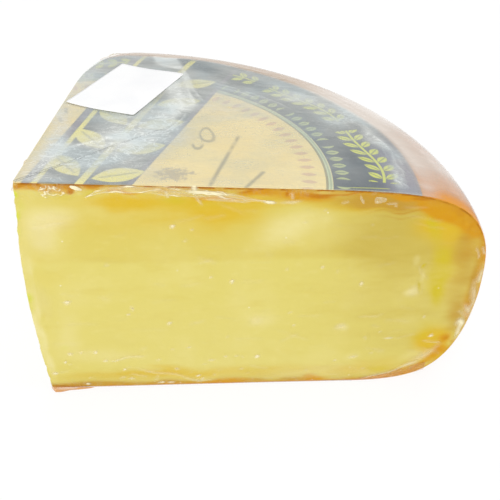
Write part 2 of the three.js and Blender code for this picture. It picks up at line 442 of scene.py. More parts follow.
class Field:
    """A number that varies over a surface: one output of a material's node tree."""

    def __init__(self, tree, socket):
        self.tree = tree
        self.socket = socket

    def math(self, operation, *others):
        node = self.tree.nodes.new("ShaderNodeMath")
        node.operation = operation
        for slot, value in enumerate((self, *others)):
            connect(self.tree, value, node.inputs[slot])
        return Field(self.tree, node.outputs[0])

    def __add__(self, other):
        return self.math("ADD", other)

    def __sub__(self, other):
        return self.math("SUBTRACT", other)

    def __mul__(self, other):
        return self.math("MULTIPLY", other)

    def squared(self):
        return self.math("POWER", 2)

    def root(self):
        return self.math("SQRT")

    def least(self, other):
        return self.math("MINIMUM", other)

    def size(self):
        return self.math("ABSOLUTE")

    def flipped(self):
        return self * -1 + 1

    def rise(self, low, high):
        """0 below low, 1 above high and smooth between; falls if low is the higher."""
        if low > high:
            return self.rise(high, low).flipped()
        node = self.tree.nodes.new("ShaderNodeMapRange")
        node.interpolation_type = "SMOOTHSTEP"
        connect(self.tree, self, node.inputs["Value"])
        node.inputs["From Min"].default_value = low
        node.inputs["From Max"].default_value = high
        return Field(self.tree, node.outputs["Result"])


def connect(tree, value, socket):
    """Links a field, or sets a plain number or colour."""
    if isinstance(value, Field):
        tree.links.new(value.socket, socket)
    elif isinstance(value, bpy.types.NodeSocket):
        tree.links.new(value, socket)
    else:
        socket.default_value = value


def srgb(red, green, blue):
    """A colour given in sRGB from 0 to 255, as the linear one that shaders take."""
    def linear(part):
        part /= 255
        return part / 12.92 if part <= 0.04045 else ((part + 0.055) / 1.055) ** 2.4
    return (linear(red), linear(green), linear(blue), 1)


class Paint:
    """A material whose colour is built up layer by layer."""

    def __init__(self, name, colour):
        self.material = bpy.data.materials.new(name)
        self.material.use_nodes = True
        self.tree = self.material.node_tree
        self.shader = self.tree.nodes["Principled BSDF"]
        self.colour = colour
        self.relief = None
        spot = self.node("TexCoord").outputs["Object"]
        parts = self.node("SeparateXYZ")
        self.tree.links.new(spot, parts.inputs[0])
        self.x, self.y, self.z = (
            Field(self.tree, part) * (1 / MM) - float(offset)
            for part, offset in zip(parts.outputs, AXIS_SPOT))

    def node(self, kind):
        return self.tree.nodes.new("ShaderNode" + kind)

    def attribute(self, name):
        node = self.node("Attribute")
        node.attribute_name = name
        return Field(self.tree, node.outputs["Fac"])

    def texture(self, kind, output, cells, seed=0.0, **values):
        """One output of a texture whose cells have the given sizes along X, Y and Z."""
        joined = self.node("CombineXYZ")
        for slot, (part, length) in enumerate(zip((self.x, self.y, self.z), cells)):
            connect(self.tree, part * (1 / length) + seed, joined.inputs[slot])
        node = self.node("Tex" + kind)
        self.tree.links.new(joined.outputs[0], node.inputs["Vector"])
        node.inputs["Scale"].default_value = 1.0
        for name, value in values.items():
            node.inputs[name].default_value = value
        return Field(self.tree, node.outputs[output])

    def noise(self, cell, detail=2.0, roughness=0.5, seed=0.0, distortion=0.0):
        """Noise about 0.5, from 0 to 1, with features of the given size or sizes."""
        cells = cell if isinstance(cell, tuple) else (cell, cell, cell)
        return self.texture("Noise", "Fac", cells, seed,
                            Detail=detail, Roughness=roughness, Distortion=distortion)

    def specks(self, cell, reach):
        """Small dots, one in each cell, 1 inside and 0 outside."""
        distance = self.texture("Voronoi", "Distance", (cell, cell, cell))
        return distance.rise(reach, reach * 0.4)

    def add(self, colour, mask):
        """Lays a colour over what is there, as much as the mask says."""
        node = self.node("Mix")
        node.data_type = "RGBA"
        connect(self.tree, mask, node.inputs["Factor"])
        connect(self.tree, self.colour, node.inputs[6])
        connect(self.tree, colour, node.inputs[7])
        self.colour = node.outputs[2]

    def bump(self, height, distance):
        """Fine relief: height from 0 to 1 over a distance in millimetres."""
        node = self.node("Bump")
        node.inputs["Distance"].default_value = distance * MM
        connect(self.tree, height, node.inputs["Height"])
        self.relief = node.outputs[0]

    def finish(self, **values):
        """Sets the shader's sockets and gives the material."""
        connect(self.tree, self.colour, self.shader.inputs["Base Color"])
        if self.relief is not None:
            self.tree.links.new(self.relief, self.shader.inputs["Normal"])
        for name, value in values.items():
            connect(self.tree, value, self.shader.inputs[name.replace("_", " ")])
        return self.material


# ---- the cheese ------------------------------------------------------------------------

CHEESE_COUNTS = {"front": 250, "rim": 120, "left": 110, "corner": 5}
CHEESE_RING_COUNT = 150
CHEESE_EDGE_RINGS = 6
CHEESE_INSET = 0.35
CHEESE_TOP_LIFT = 0.25
CHEESE_BASE_LIFT = 0.3
CHEESE_CAP_SHARES = [
    0.995, 0.985, 0.97, 0.95, 0.92, 0.88, 0.83, 0.77, 0.7, 0.6, 0.48, 0.34, 0.18]

# Patches of colour on the front cut, as spots in X and Z: centre, radii, strength and tilt.
FRONT_TINTS = {
    "shade": [
        (134, 94, 36, 18, 0.9), (150, 60, 56, 60, 0.6), (128, 110, 28, 6, 0.6, -0.1),
        (96, 83, 60, 2.4, 0.1), (60, 85, 90, 3, 0.15), (60, 2, 130, 5, 0.6),
        (-8, 82, 12, 2.4, 0.3), (20, 80.5, 40, 1.6, 0.15), (100, 112, 26, 4, 0.9, -0.03),
        (0, 31, 16, 3, 0.2, -0.1), (-12, 8, 30, 3, 0.4), (40, 11, 60, 4, 0.25)],
    "pale": [
        (-27, 105, 13, 6, 0.8, 0.1), (-33, 96, 8, 9, 0.7), (80, 100, 20, 8, 0.6, 0.05),
        (70, 92, 17, 7, 0.45, 0.4), (99, 92, 15, 5, 0.25, 0.3), (-28, 50, 5, 16, 0.3, 0.1),
        (137.5, 60.5, 4, 3.6, 0.8), (136.5, 78, 2.8, 2.8, 0.5), (142, 68.5, 1.6, 4, 0.5, -0.2),
        (138, 42, 7, 4, 0.3), (30, 34, 70, 24, 0.25), (147, 19, 12, 3, 0.5, 0.45),
        (113, 18, 4, 3, 0.5), (106, 38, 3, 3, 0.5), (-42, 76, 2.4, 14, 0.8), (-42, 50, 2, 16, 0.8),
        (-41, 26, 2.6, 22, 0.8, 0.1), (-15, 22, 22, 5, 0.4), (-30, 33, 8, 8, 0.4),
        (66, 46, 10, 6, 0.45)],
    "gold": [
        (5, 112, 14, 4, 0.35), (38, 104, 30, 9, 0.22), (22, 113, 50, 6, 0.5),
        (14, 104, 46, 12, 0.24), (50, 109, 18, 7, 0.6), (50, 97, 24, 10, 0.18, 0.2),
        (60, 9, 70, 5, 0.4), (19, 14, 12, 2.4, 0.4, -0.1), (0, 8, 50, 4, 0.45),
        (152, 29, 10, 9, 1.1, 0.4), (124, 11, 20, 5, 0.4, 0.2), (147, 12, 16, 4, 0.7, 0.5),
        (147, 98, 14, 11, 1), (155, 78, 9, 24, 0.5), (-4, 101, 34, 6, 0.12), (-33, 72, 7, 5, 0.2),
        (90, 111, 24, 4, 0.6, -0.05), (116, 109, 18, 5, 0.5), (168, 56, 3.6, 30, 0.6, 0.03),
        (158, 22, 7, 9, 0.9, 0.6)],
    "olive": [
        (150.5, 81, 5.4, 6, 0.7), (149.5, 66, 6, 12, 0.75), (151.5, 56, 4, 9, 0.5),
        (141, 101, 4, 5, 0.55), (144, 93, 3.6, 8, 0.6, 0.3), (148, 37, 6, 5, 0.4),
        # The spots at (141.5, 75) and (141, 63) are painted shade inside the two hollows there;
        # the rest are the paste's own olive patches.
        (146, 30, 6, 4, 0.4, 0.4), (125, 10, 8, 3, 0.6, 0.1), (141.5, 75, 2, 0.9, 1.1, 0.7),
        (141, 63, 1, 3.6, 1.1, 0.2), (40, 110, 26, 3, 0.3), (-22, 116, 8, 2, 0.4),
        (26, 112.5, 6, 1.6, 0.5), (-10, 118, 4, 2, 0.5)],
    "lime": [
        (-41, 116.5, 2, 2, 1), (-40, 111, 3, 4, 0.4), (-42.4, 105, 1.8, 3, 0.9),
        (-42.8, 97, 1.3, 3, 0.5), (-43.4, 61, 1.6, 3, 1), (-43.4, 55, 1.3, 3, 0.6),
        (-42, 33, 1.6, 6, 0.3, 0.1), (-31, 30, 2.4, 2, 0.3)],
    "tan": [
        (161, 66, 6.6, 26, 0.62, 0.03), (158, 84, 6, 10, 0.35), (161, 45, 5, 7, 0.45),
        (158, 92, 5, 6, 0.45, -0.3), (168, 60, 3, 30, 0.8, 0.03), (161, 36, 5, 3, 0.45, 0.3),
        (60, 1, 150, 2.8, 0.9), (-20, 1.6, 24, 3.4, 0.8), (20, 2.2, 18, 3, 0.7),
        (108, 111.4, 14, 3.6, 1), (126, 109.5, 14, 4, 0.9, -0.05), (124, 108, 10, 0.6, 0.7),
        (129, 105.4, 9, 0.5, 0.7), (121, 103, 8, 0.5, 0.5), (132, 102.4, 7, 0.5, 0.5, -0.1),
        (116, 106, 7, 0.5, 0.5, 0.05)],
    "orange": [
        (150, 105.6, 16, 5.4, 1.25, -0.35), (158, 99, 10, 5, 1.1, -0.8),
        (165, 90, 6, 12, 0.55, -0.25), (169, 80, 3, 14, 0.7), (138.5, 108, 8, 4, 0.8, -0.1),
        (155, 92, 5, 6, 0.1, -0.3), (144, 103, 8, 3.6, 0.8, -0.2), (159.3, 29.7, 3.4, 2.8, 0.9),
        (159, 23.6, 4, 4, 0.7, 0.3), (155, 19, 6, 3, 0.9, 0.7), (150, 12, 10, 2, 0.7, 0.45),
        (95, 3, 7, 2.8, 1), (82, 114, 15, 3.2, 1.1), (61, 116, 7, 2, 1.1, -0.1),
        (48, 112.6, 14, 2, 0.4, -0.1), (-36, 119.4, 6, 1.2, 0.7), (-25, 119.6, 9, 2, 0.8),
        (4, 117, 9, 0.9, 1), (44, 113.6, 10, 1, 0.6, -0.1), (128, 112.6, 12, 1.6, 1, -0.1),
        (-8, 120, 4, 1.2, 0.6), (46, 2, 18, 2.4, 0.8, 0.05), (20, 2, 30, 2, 0.3),
        (140, 5, 20, 2.5, 0.8, 0.25), (168, 44, 3, 16, 0.6, 0.25)],
    "rust": [
        (152, 104.4, 3, 2, 0.5, -0.5), (154.4, 100.6, 2, 2, 0.35), (159.5, 96, 1.6, 3, 0.4, -0.2),
        (88, 114.8, 8, 1.6, 0.9), (58.5, 117, 4, 0.8, 0.9), (74.5, 114.6, 1.2, 2, 0.9),
        (-38, 120.2, 3, 1, 0.9, 0.2), (-8, 120.4, 5, 0.9, 0.9), (-19, 119.2, 1.7, 1.3, 1.2, 0.4),
        (-27, 120.8, 15, 0.8, 1), (134, 111.6, 5, 0.9, 1.2, -0.15), (160, 29.6, 1.8, 1.8, 0.5),
        (32, 115, 3, 0.6, 0.5), (110, 115, 20, 0.6, 0.9, -0.04)]}

# Small hollows in the front cut, as spots in X and Z whose strength is their depth.
FRONT_HOLLOWS = [
    (141.5, 75, 2.6, 1, 0.7, 0.7), (141, 63, 1.1, 4, 0.7, 0.2), (137, 61, 3.6, 3, -0.3),
    (67, 49, 7, 1, 0.4, 0.1), (75, 44, 6, 1.1, 0.4, -0.1), (98, 60, 4, 0.8, 0.3),
    (88, 62, 3, 0.9, 0.4, 0.5), (119, 31, 0.9, 3, 0.3, 0.1)]
HOLLOW_SEED = 11
LEFT_HOLLOW_COUNT = 12

# Fine relief: its height, and its noise as the cell's length and height and a seed.
CUT_DEPTH = 0.03
CUT_GRAIN = 0.05
CUT_NOISE = ((9, 4), 21)
WAX_WAVE = 0.15
WAX_NOISE = ((14, 14), 31)
TOP_WAVE = 0.12
TOP_NOISE = ((12, 12), 41)
NICK_DEPTH = 0.7
NICK_NOISE = ((5, 17), 61)
NICK_REACH = (4, 0.5)     # distances from the point where nicks start and are deepest

TINT_WARP = (1.6, 9, 45)  # reach, cell and seed
LEFT_TINT_CELL = (44, 24)
LEFT_TINT_SEED = 50

RIND_PROFILE_STEPS = 500
RIND_BATCH = 4000         # points measured at a time, which keeps the memory small
FAR_FROM_RIND = 40.0


def rind_depth(points):
    """How deep each point lies under the wheel's waxed surface."""
    share = (1 - np.cos(np.linspace(0.01, np.pi - 0.01, RIND_PROFILE_STEPS))) / 2
    radius = np.array([side_radius(s) for s in share])
    height = WHEEL_HEIGHT * share
    x, y, z = points.T
    slope = TOP_SLOPE_X * x + TOP_SLOPE_Y * y
    upper = HALF_HEIGHT + (z - HALF_HEIGHT) * HALF_HEIGHT / (HALF_HEIGHT + slope)
    level = np.where(z > HALF_HEIGHT, upper, z)
    reach = np.hypot(x, y)
    depth = np.minimum(np.minimum(WHEEL_HEIGHT - level, level), FAR_FROM_RIND)
    for start in range(0, len(points), RIND_BATCH):
        part = slice(start, start + RIND_BATCH)
        away = np.hypot(reach[part, None] - radius, level[part, None] - height)
        depth[part] = np.minimum(depth[part], away.min(1))
    return np.maximum(depth, 0)


def point_wear(along, z):
    """Small nicks down the wedge's upright point."""
    worn = smooth_step(rough_noise(z, z, *NICK_NOISE), -0.2, 0.6)
    return NICK_DEPTH * smooth_step(along, *NICK_REACH) * worn


def left_hollows():
    """Hollows in the left cut, as spots in distance from the point and Z."""
    draw = np.random.default_rng(HOLLOW_SEED)
    hollows = []
    for _ in range(LEFT_HOLLOW_COUNT):
        centre = draw.uniform(12, 165), draw.uniform(14, 106)
        radii = draw.uniform(1.2, 5), draw.uniform(0.8, 1.5)
        tilt, depth = draw.uniform(-0.6, 0.6), draw.uniform(0.3, 0.9)
        hollows.append((*centre, *radii, depth, tilt))
    return hollows


def left_tint(name, along, z):
    """Patches of colour on the left cut: noise in the same colours as the front cut."""
    seed = LEFT_TINT_SEED + 10 * list(FRONT_TINTS).index(name)
    noise = rough_noise(along, z, LEFT_TINT_CELL, seed)
    patchy = smooth_step(noise, -0.5, 0.9)
    near_rim = smooth_step(along + 14 * noise, 140, 182)
    near_top = smooth_step(z + 5 * noise, 99, 116)
    at_edge = smooth_step(z + 2 * noise, 117, 120.5)
    return {
        "shade": 0.35 * near_rim + 0.2 * near_top + 0.3 * patchy,
        "tan": 0.55 * near_rim + 0.5 * at_edge,
        "pale": 0.5 * patchy * (1 - near_rim) * (1 - near_top),
        "gold": 0.25 * patchy + 0.55 * near_top + 0.3 * near_rim,
        "lime": 0.12 * patchy,
        "rust": 0.9 * at_edge * patchy,
        "olive": 0.25 * patchy + 0.2 * near_rim,
        "orange": 0.7 * patchy * near_rim + 0.8 * at_edge}[name]


def cheese_side():
    """The side's rings with their fine relief, and each column's share of the two cuts."""
    levels = side_levels(CHEESE_RING_COUNT, CHEESE_EDGE_RINGS)
    side, front, left = wedge_shell(
        CHEESE_COUNTS, levels, CHEESE_INSET, CHEESE_TOP_LIFT, CHEESE_BASE_LIFT)
    left_only = left * (front < 1)
    x, y, z = (side[..., axis] for axis in range(3))
    along = from_point(x, y)
    cut = np.maximum(front, left)
    dent = (spots_together(x, z, FRONT_HOLLOWS) * front
            + spots_together(along, z, left_hollows()) * left_only)
    dent = dent + cut * (CUT_GRAIN * rough_noise(along, z, *CUT_NOISE) + CUT_DEPTH
                         + point_wear(along, z))
    dent = dent + (1 - cut) * WAX_WAVE * rough_noise(rim_arc(x, y), z, *WAX_NOISE)
    return side - grid_normals(side) * dent[..., None], front, left_only


def make_cheese():
    side, front, left = cheese_side()
    cap = shrunk_rings(side[-1], CHEESE_CAP_SHARES, CHEESE_TOP_LIFT)
    cap[..., 2] += TOP_WAVE * rough_noise(cap[..., 0], cap[..., 1], *TOP_NOISE)
    base = base_rings(side[0])
    rings = np.concatenate([base, side, cap])
    low_centre = np.append(WEDGE_CENTRE, side[0, :, 2].mean())
    high_centre = np.append(WEDGE_CENTRE, top_height(*WEDGE_CENTRE) + CHEESE_TOP_LIFT)
    made = shell_object("cheese_body", rings, low_centre, high_centre)

    points = np.vstack([rings.reshape(-1, 3), low_centre, high_centre])
    on_front = np.zeros(len(points))
    on_left = np.zeros(len(points))
    first = base.size // 3
    last = first + side.size // 3
    on_front[first:last] = np.tile(front, len(side))
    on_left[first:last] = np.tile(left, len(side))
    x, y, z = points.T
    set_attribute(made, "rind_depth", rind_depth(points))
    set_attribute(made, "cut", np.maximum(on_front, on_left))
    uneven = warped(x, z, *TINT_WARP)
    for name, spots in FRONT_TINTS.items():
        set_attribute(made, name, patches(*uneven, spots) * on_front
                      + left_tint(name, from_point(x, y), z) * on_left)
    finish_piece(made, cheese_material(), "cheese_wedge")


PASTE = srgb(224, 210, 114)
PASTE_ABOVE_SEAM = srgb(219, 200, 96)
PASTE_PALE = srgb(231, 218, 136)
PASTE_DEEP = srgb(218, 200, 98)
TINT_COLOURS = {
    "shade": srgb(203, 180, 80), "pale": srgb(235, 223, 152), "gold": srgb(221, 184, 40),
    "olive": srgb(211, 190, 30), "lime": srgb(212, 216, 60), "tan": srgb(196, 152, 52),
    "orange": srgb(214, 150, 0), "rust": srgb(192, 118, 0)}
FULL_TINT = 1.25          # the strength at which a tint covers the paste
UNDER_RIND = srgb(206, 144, 26)
WAX = srgb(224, 152, 52)
WAX_EDGE = srgb(180, 112, 0)
WAX_EDGE_LOW = srgb(204, 140, 88)
CRYSTAL = srgb(246, 240, 204)

# Heights and depths between which a colour starts and is full.
SEAM_HEIGHTS = (81.0, 84.5)
UNDER_RIND_DEPTHS = (3.6, 0.6)
WAX_EDGE_DEPTHS = (0.9, 0.35)
WAX_EDGE_LOW_DEPTHS = (2.0, 0.6)
LOW_EDGE_HEIGHTS = (4, 2)


def paint_paste(paint):
    """Cloudy paste, deeper above a seam, with the cuts' tints and a few crystals."""
    cloudy = paint.noise(32.0, detail=3.0)
    smears = paint.noise((24.0, 24.0, 7.0), detail=4.0, roughness=0.6, seed=7.0)
    grain = paint.noise((6.0, 6.0, 3.0), detail=2.0, seed=12.0)
    paint.add(PASTE_ABOVE_SEAM, (paint.z + smears * 4).rise(*SEAM_HEIGHTS) * 0.65)
    paint.add(PASTE_PALE, cloudy.rise(0.42, 0.7) * 0.5)
    paint.add(PASTE_DEEP, smears.rise(0.5, 0.75) * 0.4)
    paint.add(PASTE_PALE, grain.rise(0.55, 0.8) * 0.35)
    uneven = (smears - 0.5) * 0.9 + (grain - 0.5) * 0.3 + 1
    for name, colour in TINT_COLOURS.items():
        paint.add(colour, (paint.attribute(name) * uneven).rise(0.0, FULL_TINT))
    paint.add(CRYSTAL, paint.specks(7.0, 0.085) * cloudy.rise(0.5, 0.56) * 0.7)


def paint_wax(paint):
    """The wax shows as a ragged line round the cuts, and covers the rest."""
    ragged = paint.noise((7.0, 7.0, 5.0), detail=4.0, roughness=0.6, seed=3.0)
    on_cut = paint.attribute("cut")
    depth = paint.attribute("rind_depth")
    paint.add(UNDER_RIND, (depth + (ragged - 0.5) * 7).rise(*UNDER_RIND_DEPTHS) * 0.5)
    wax_depth = depth + (ragged - 0.5) * 1.4
    broken = ragged.rise(0.42, 0.56) * 0.75 + 0.25
    paint.add(WAX_EDGE, wax_depth.rise(*WAX_EDGE_DEPTHS) * on_cut * broken)
    near_base = on_cut * paint.z.rise(*LOW_EDGE_HEIGHTS)
    paint.add(WAX_EDGE_LOW, wax_depth.rise(*WAX_EDGE_LOW_DEPTHS) * near_base * 0.85)
    mottled = paint.noise(11.0, detail=4.0, roughness=0.6, seed=17.0)
    on_wax = (on_cut + (ragged - 0.5) * 0.5).rise(0.66, 0.4)
    paint.add(WAX, on_wax)
    paint.add(UNDER_RIND, mottled.rise(0.45, 0.7) * on_wax * 0.4)


def cheese_material():
    paint = Paint("paste_and_wax", PASTE)
    paint_paste(paint)
    paint_wax(paint)
    paint.bump(paint.noise((14.0, 14.0, 5.0), detail=3.0, seed=5.0), 0.08)
    return paint.finish(Roughness=0.45, IOR=1.46, Specular_IOR_Level=0.12)


# ---- the printed label -----------------------------------------------------------------

LABEL_COUNTS = {"front": 90, "rim": 110, "left": 80, "corner": 4}
LABEL_SHARES = list(np.linspace(1, 0.06, 26))
LABEL_WAVE = 0.06
LABEL_NOISE = ((9, 9), 81)

PRINT_SLATE = srgb(84, 93, 100)
PRINT_BEIGE = srgb(236, 214, 144)
PRINT_BEIGE_WORN = srgb(242, 223, 158)
PRINT_YELLOW = srgb(232, 222, 118)
PRINT_LIME = srgb(208, 212, 84)
PRINT_GREEN_LINE = srgb(196, 206, 166)
PRINT_DARK_LINE = srgb(84, 92, 74)
PRINT_ROSE = srgb(204, 160, 136)
PRINT_VIOLET = srgb(138, 128, 146)
PRINT_PALE_LEAF = srgb(186, 196, 134)
PAPER_EDGE = srgb(246, 238, 206)
INK = srgb(138, 126, 90)
STAMP_INK = srgb(140, 128, 120)

# The ring: radii of its rows, the pitch along each row, and leaves as length and width.
ARC_RADIUS = 94.8
BEAD_RADIUS = 85.5
BEAD_PITCH = 6.4
BEAD = (8.0, 3.4)
SMALL_LEAF_RADIUS = 100.6
SMALL_LEAF_PITCH = 6.2
SMALL_LEAF = (7.4, 4.4)
SMALL_LEAF_START = 10
SMALL_LEAF_GROUP = 6
VINE_RADIUS = 118.0
VINE_START = 13
VINE_GROUP = 61.0
VINE_SWAY = 2
VINE_PITCH = 7.4
VINE_LEAN = math.radians(40)
VINE_LEAF = (8.6, 4.4)
VINE_LEAF_REACH = 3.9
RING_END_LINE = ((102, -13.6), (121, -12.8))

# The bar and its sprig, as lines in X and Y.
BAR_LEFT = ((-37.6, -15.1), (-19.4, 57.1))
BAR_RIGHT = ((9.4, -13.1), (43.3, 74.7))
BAR_LINE_INSET = 5.2
SPRIG = ((-14.0, -16.0), (13.0, 66.0))
SPRIG_PITCH = 26.0
SPRIG_END = 130.0
SPRIG_LEAN = math.radians(36)
SPRIG_LEAF = (24.0, 12.0)
SPRIG_LEAF_REACH = 12.5

# Marks made by hand: strokes as lines, loops as centre, radii and the worn share of the line.
PEN_WIDTH = 1.7
PEN_STROKES = [
    ((56.3, 33.6), (40.5, -17.5)), ((66, -1), (56, -17)),
    ((-29.6, 57), (-28.6, 50)), ((-31, 46), (-29.6, 41))]
PEN_LOOPS = [(41.2, 31.4, 3.8, 6.2, 0.3), (35.4, 24.0, 2.8, 5.6, 0.42)]
STAMP_SPOT = (26.0, -6.0)
STAMP_RADII = (9, 6)


def make_label():
    position, front, left = plan_outline(LABEL_RADIUS, LABEL_COUNTS)
    outline = (position + np.outer(front * LABEL_INSET, FRONT_INWARD)
               + np.outer(left * LABEL_INSET, LEFT_INWARD))
    upper = shrunk_rings(outline, LABEL_SHARES, LAYER_GAP + LABEL_THICKNESS)
    lower = shrunk_rings(outline, LABEL_SHARES, LAYER_GAP)[::-1]
    rings = np.concatenate([lower, upper])
    rings[..., 2] += LABEL_WAVE * rough_noise(rings[..., 0], rings[..., 1], *LABEL_NOISE)
    height = top_height(*WEDGE_CENTRE) + LAYER_GAP
    made = shell_object("paper_label", rings, np.append(WEDGE_CENTRE, height),
                        np.append(WEDGE_CENTRE, height + LABEL_THICKNESS))
    finish_piece(made, label_material(), "top_label")


def along_line(paint, line):
    """Distance along a line from its first point and to its left, and the line's length."""
    (x0, y0), (x1, y1) = line
    length = math.hypot(x1 - x0, y1 - y0)
    ux, uy = (x1 - x0) / length, (y1 - y0) / length
    along = (paint.x - x0) * ux + (paint.y - y0) * uy
    return along, (paint.y - y0) * ux - (paint.x - x0) * uy, length


def stroke(paint, line, width):
    """A straight pen stroke, tapered at both ends."""
    along, aside, length = along_line(paint, line)
    ends = along.rise(0, length * 0.1) * along.rise(length, length * 0.9)
    return aside.size().rise(width, 0) * ends


def leaf(along, across, size):
    """A pointed leaf about a middle, given its two coordinates, and its length and width."""
    length, width = size
    room = (along * (2 / length)).squared().flipped() * (width / 2)
    return (room - across.size()).rise(0, 0.5)


def repeat(distance, pitch):
    """Distance from the middle of the stretch that a place lies in, for a row of stretches."""
    return ((distance * (1 / pitch)).math("FRACT") - 0.5) * pitch


def leaning_pairs(along, across, pitch, reach, lean):
    """Coordinates in pairs of leaves that lean forward from both sides of a stem."""
    step = repeat(along, pitch)
    out = across.size() - reach
    return (out * math.cos(lean) + step * math.sin(lean),
            step * math.cos(lean) - out * math.sin(lean))


def paint_ring(paint):
    """The slate ring with its double line, a row of small leaves and groups of a vine."""
    radius = (paint.x.squared() + paint.y.squared()).root()
    bearing = paint.y.math("ARCTAN2", paint.x)
    beads = leaf(radius - BEAD_RADIUS, repeat(bearing * BEAD_RADIUS, BEAD_PITCH), BEAD)
    paint.add(PRINT_ROSE, beads * 0.6)
    paint.add(PRINT_SLATE, radius.rise(ARC_RADIUS + 1.0, ARC_RADIUS + 1.4))
    paint.add(PRINT_VIOLET, radius.rise(112, 130) * bearing.rise(0.5, 0.1) * 0.8)
    paint.add(PRINT_GREEN_LINE, (radius - ARC_RADIUS).size().rise(1.2, 0.8))
    paint.add(PRINT_DARK_LINE, (radius - ARC_RADIUS + 1.4).size().rise(0.7, 0.4) * 0.7)
    paint.add(PRINT_DARK_LINE, (radius - ARC_RADIUS - 0.2).size().rise(0.5, 0.2) * 0.35)

    arc = bearing * SMALL_LEAF_RADIUS + SMALL_LEAF_START
    across = radius - SMALL_LEAF_RADIUS
    step = repeat(arc, SMALL_LEAF_PITCH)
    group = repeat(arc, SMALL_LEAF_PITCH * SMALL_LEAF_GROUP).size()
    shown = group.rise(SMALL_LEAF_PITCH * 2.55, SMALL_LEAF_PITCH * 2.45)
    leaves = leaf(across, step, SMALL_LEAF) * shown
    vein = step.size().rise(0.45, 0.2) * across.rise(2.5, 1)
    paint.add(PRINT_PALE_LEAF, leaves * 0.85)
    paint.add(PRINT_SLATE, leaves * vein * 0.8)

    arc = bearing * VINE_RADIUS + VINE_START
    shown = repeat(arc, VINE_GROUP).size().rise(VINE_GROUP * 0.42, VINE_GROUP * 0.41)
    sway = (arc * (2 * math.pi / VINE_GROUP)).math("SINE") * VINE_SWAY
    across = radius - VINE_RADIUS - sway
    paint.add(PRINT_LIME, across.size().rise(0.85, 0.5) * shown)
    spot = leaning_pairs(arc, across, VINE_PITCH, VINE_LEAF_REACH, VINE_LEAN)
    leaves = leaf(*spot, VINE_LEAF) * shown
    paint.add(PRINT_LIME, leaves)
    paint.add(PRINT_SLATE, spot[1].size().rise(0.4, 0.2) * leaves * 0.6)
    paint.add(PRINT_LIME, stroke(paint, RING_END_LINE, 0.6) * 0.7)


def paint_bar(paint):
    """The slate bar with a line along its left side and a large sprig of pointed leaves."""
    left_side = along_line(paint, BAR_LEFT)[1]
    right_side = along_line(paint, BAR_RIGHT)[1] * -1
    bar = left_side.rise(0.3, -0.3) * right_side.rise(0.3, -0.3)
    paint.add(PRINT_SLATE, bar)
    paint.add(PRINT_VIOLET, (left_side + 2.0).size().rise(2.2, 1.0) * bar * 0.7)
    paint.add(PRINT_VIOLET, (right_side + 1.2).size().rise(1.8, 0.6) * bar * 0.6)
    paint.add(PRINT_YELLOW, (left_side + BAR_LINE_INSET).size().rise(1.5, 1.0) * bar)
    along, across, _ = along_line(paint, SPRIG)
    paint.add(PRINT_YELLOW, across.size().rise(1.9, 1.5) * bar)
    spot = leaning_pairs(along, across, SPRIG_PITCH, SPRIG_LEAF_REACH, SPRIG_LEAN)
    shown = bar * (left_side + 3.4).rise(0.2, -0.2) * along.rise(SPRIG_END + 0.5, SPRIG_END)
    leaves = leaf(*spot, SPRIG_LEAF) * shown
    paint.add(PRINT_YELLOW, leaves)
    vein = spot[1].size().rise(0.9, 0.3) * spot[0].size().rise(10, 7)
    paint.add(PRINT_SLATE, vein * leaves * 0.45)


def paint_marks(paint, worn):
    """Pen strokes and loops on the beige field, and a smudged stamp."""
    for line in PEN_STROKES:
        paint.add(INK, stroke(paint, line, PEN_WIDTH) * worn.rise(0.2, 0.5) * 0.75)
    shaky = paint.noise(16.0, detail=0.0, seed=6.0) - 0.5
    for x, y, width, height, gaps in PEN_LOOPS:
        loop_x = (paint.x - x + shaky * 9) * (1 / width)
        loop_y = (paint.y - y - shaky * 7) * (1 / height)
        loop = ((loop_x.squared() + loop_y.squared()).root() - 1) * (0.9 * width)
        paint.add(INK, loop.size().rise(1.0, 0.1) * worn.rise(gaps, gaps + 0.2) * 0.7)
    stamp_x = (paint.x - STAMP_SPOT[0]) * (1 / STAMP_RADII[0])
    stamp_y = (paint.y - STAMP_SPOT[1]) * (1 / STAMP_RADII[1])
    blotchy = paint.noise(3.0, detail=3.0, roughness=0.7, seed=8.0)
    stamp = ((stamp_x.squared() + stamp_y.squared()) * -0.8 + blotchy * 3.4).rise(0.8, 1.6)
    paint.add(STAMP_INK, stamp * 0.55)


def label_material():
    paint = Paint("printed_paper", PRINT_BEIGE)
    worn = paint.noise(14.0, detail=4.0, roughness=0.6)
    paint.add(PRINT_BEIGE_WORN, worn.rise(0.4, 0.7) * 0.5)
    paint_ring(paint)
    paint_bar(paint)
    paint_marks(paint, worn)
    paint.add(PAPER_EDGE, (paint.y - float(APEX[1]) - LABEL_INSET).rise(0.9, 0.3) * 0.35)
    paint.bump(paint.noise(0.8, detail=2.0), 0.03)
    return paint.finish(Roughness=0.55)


# ---- the price sticker -----------------------------------------------------------------

STICKER_LIFT = 1.15
STICKER_STEPS = (58, 38)
STICKER_CURL = 0.35
STICKER_RIPPLE = 0.05
STICKER_NOISE = ((11, 11), 91)
STICKER_WHITE = srgb(250, 250, 250)
STICKER_GREY = srgb(243, 244, 246)

# Bunched film lifts the sticker's right side and the film beside it.
FILM_SWELL = 1.7
SWELL_CENTRE = (19.7, 74.5)
SWELL_RADII = (60.0, 20.0)


def film_swell(x, y):
    return FILM_SWELL * blob(x, y, SWELL_CENTRE, SWELL_RADII, STICKER_ANGLE)


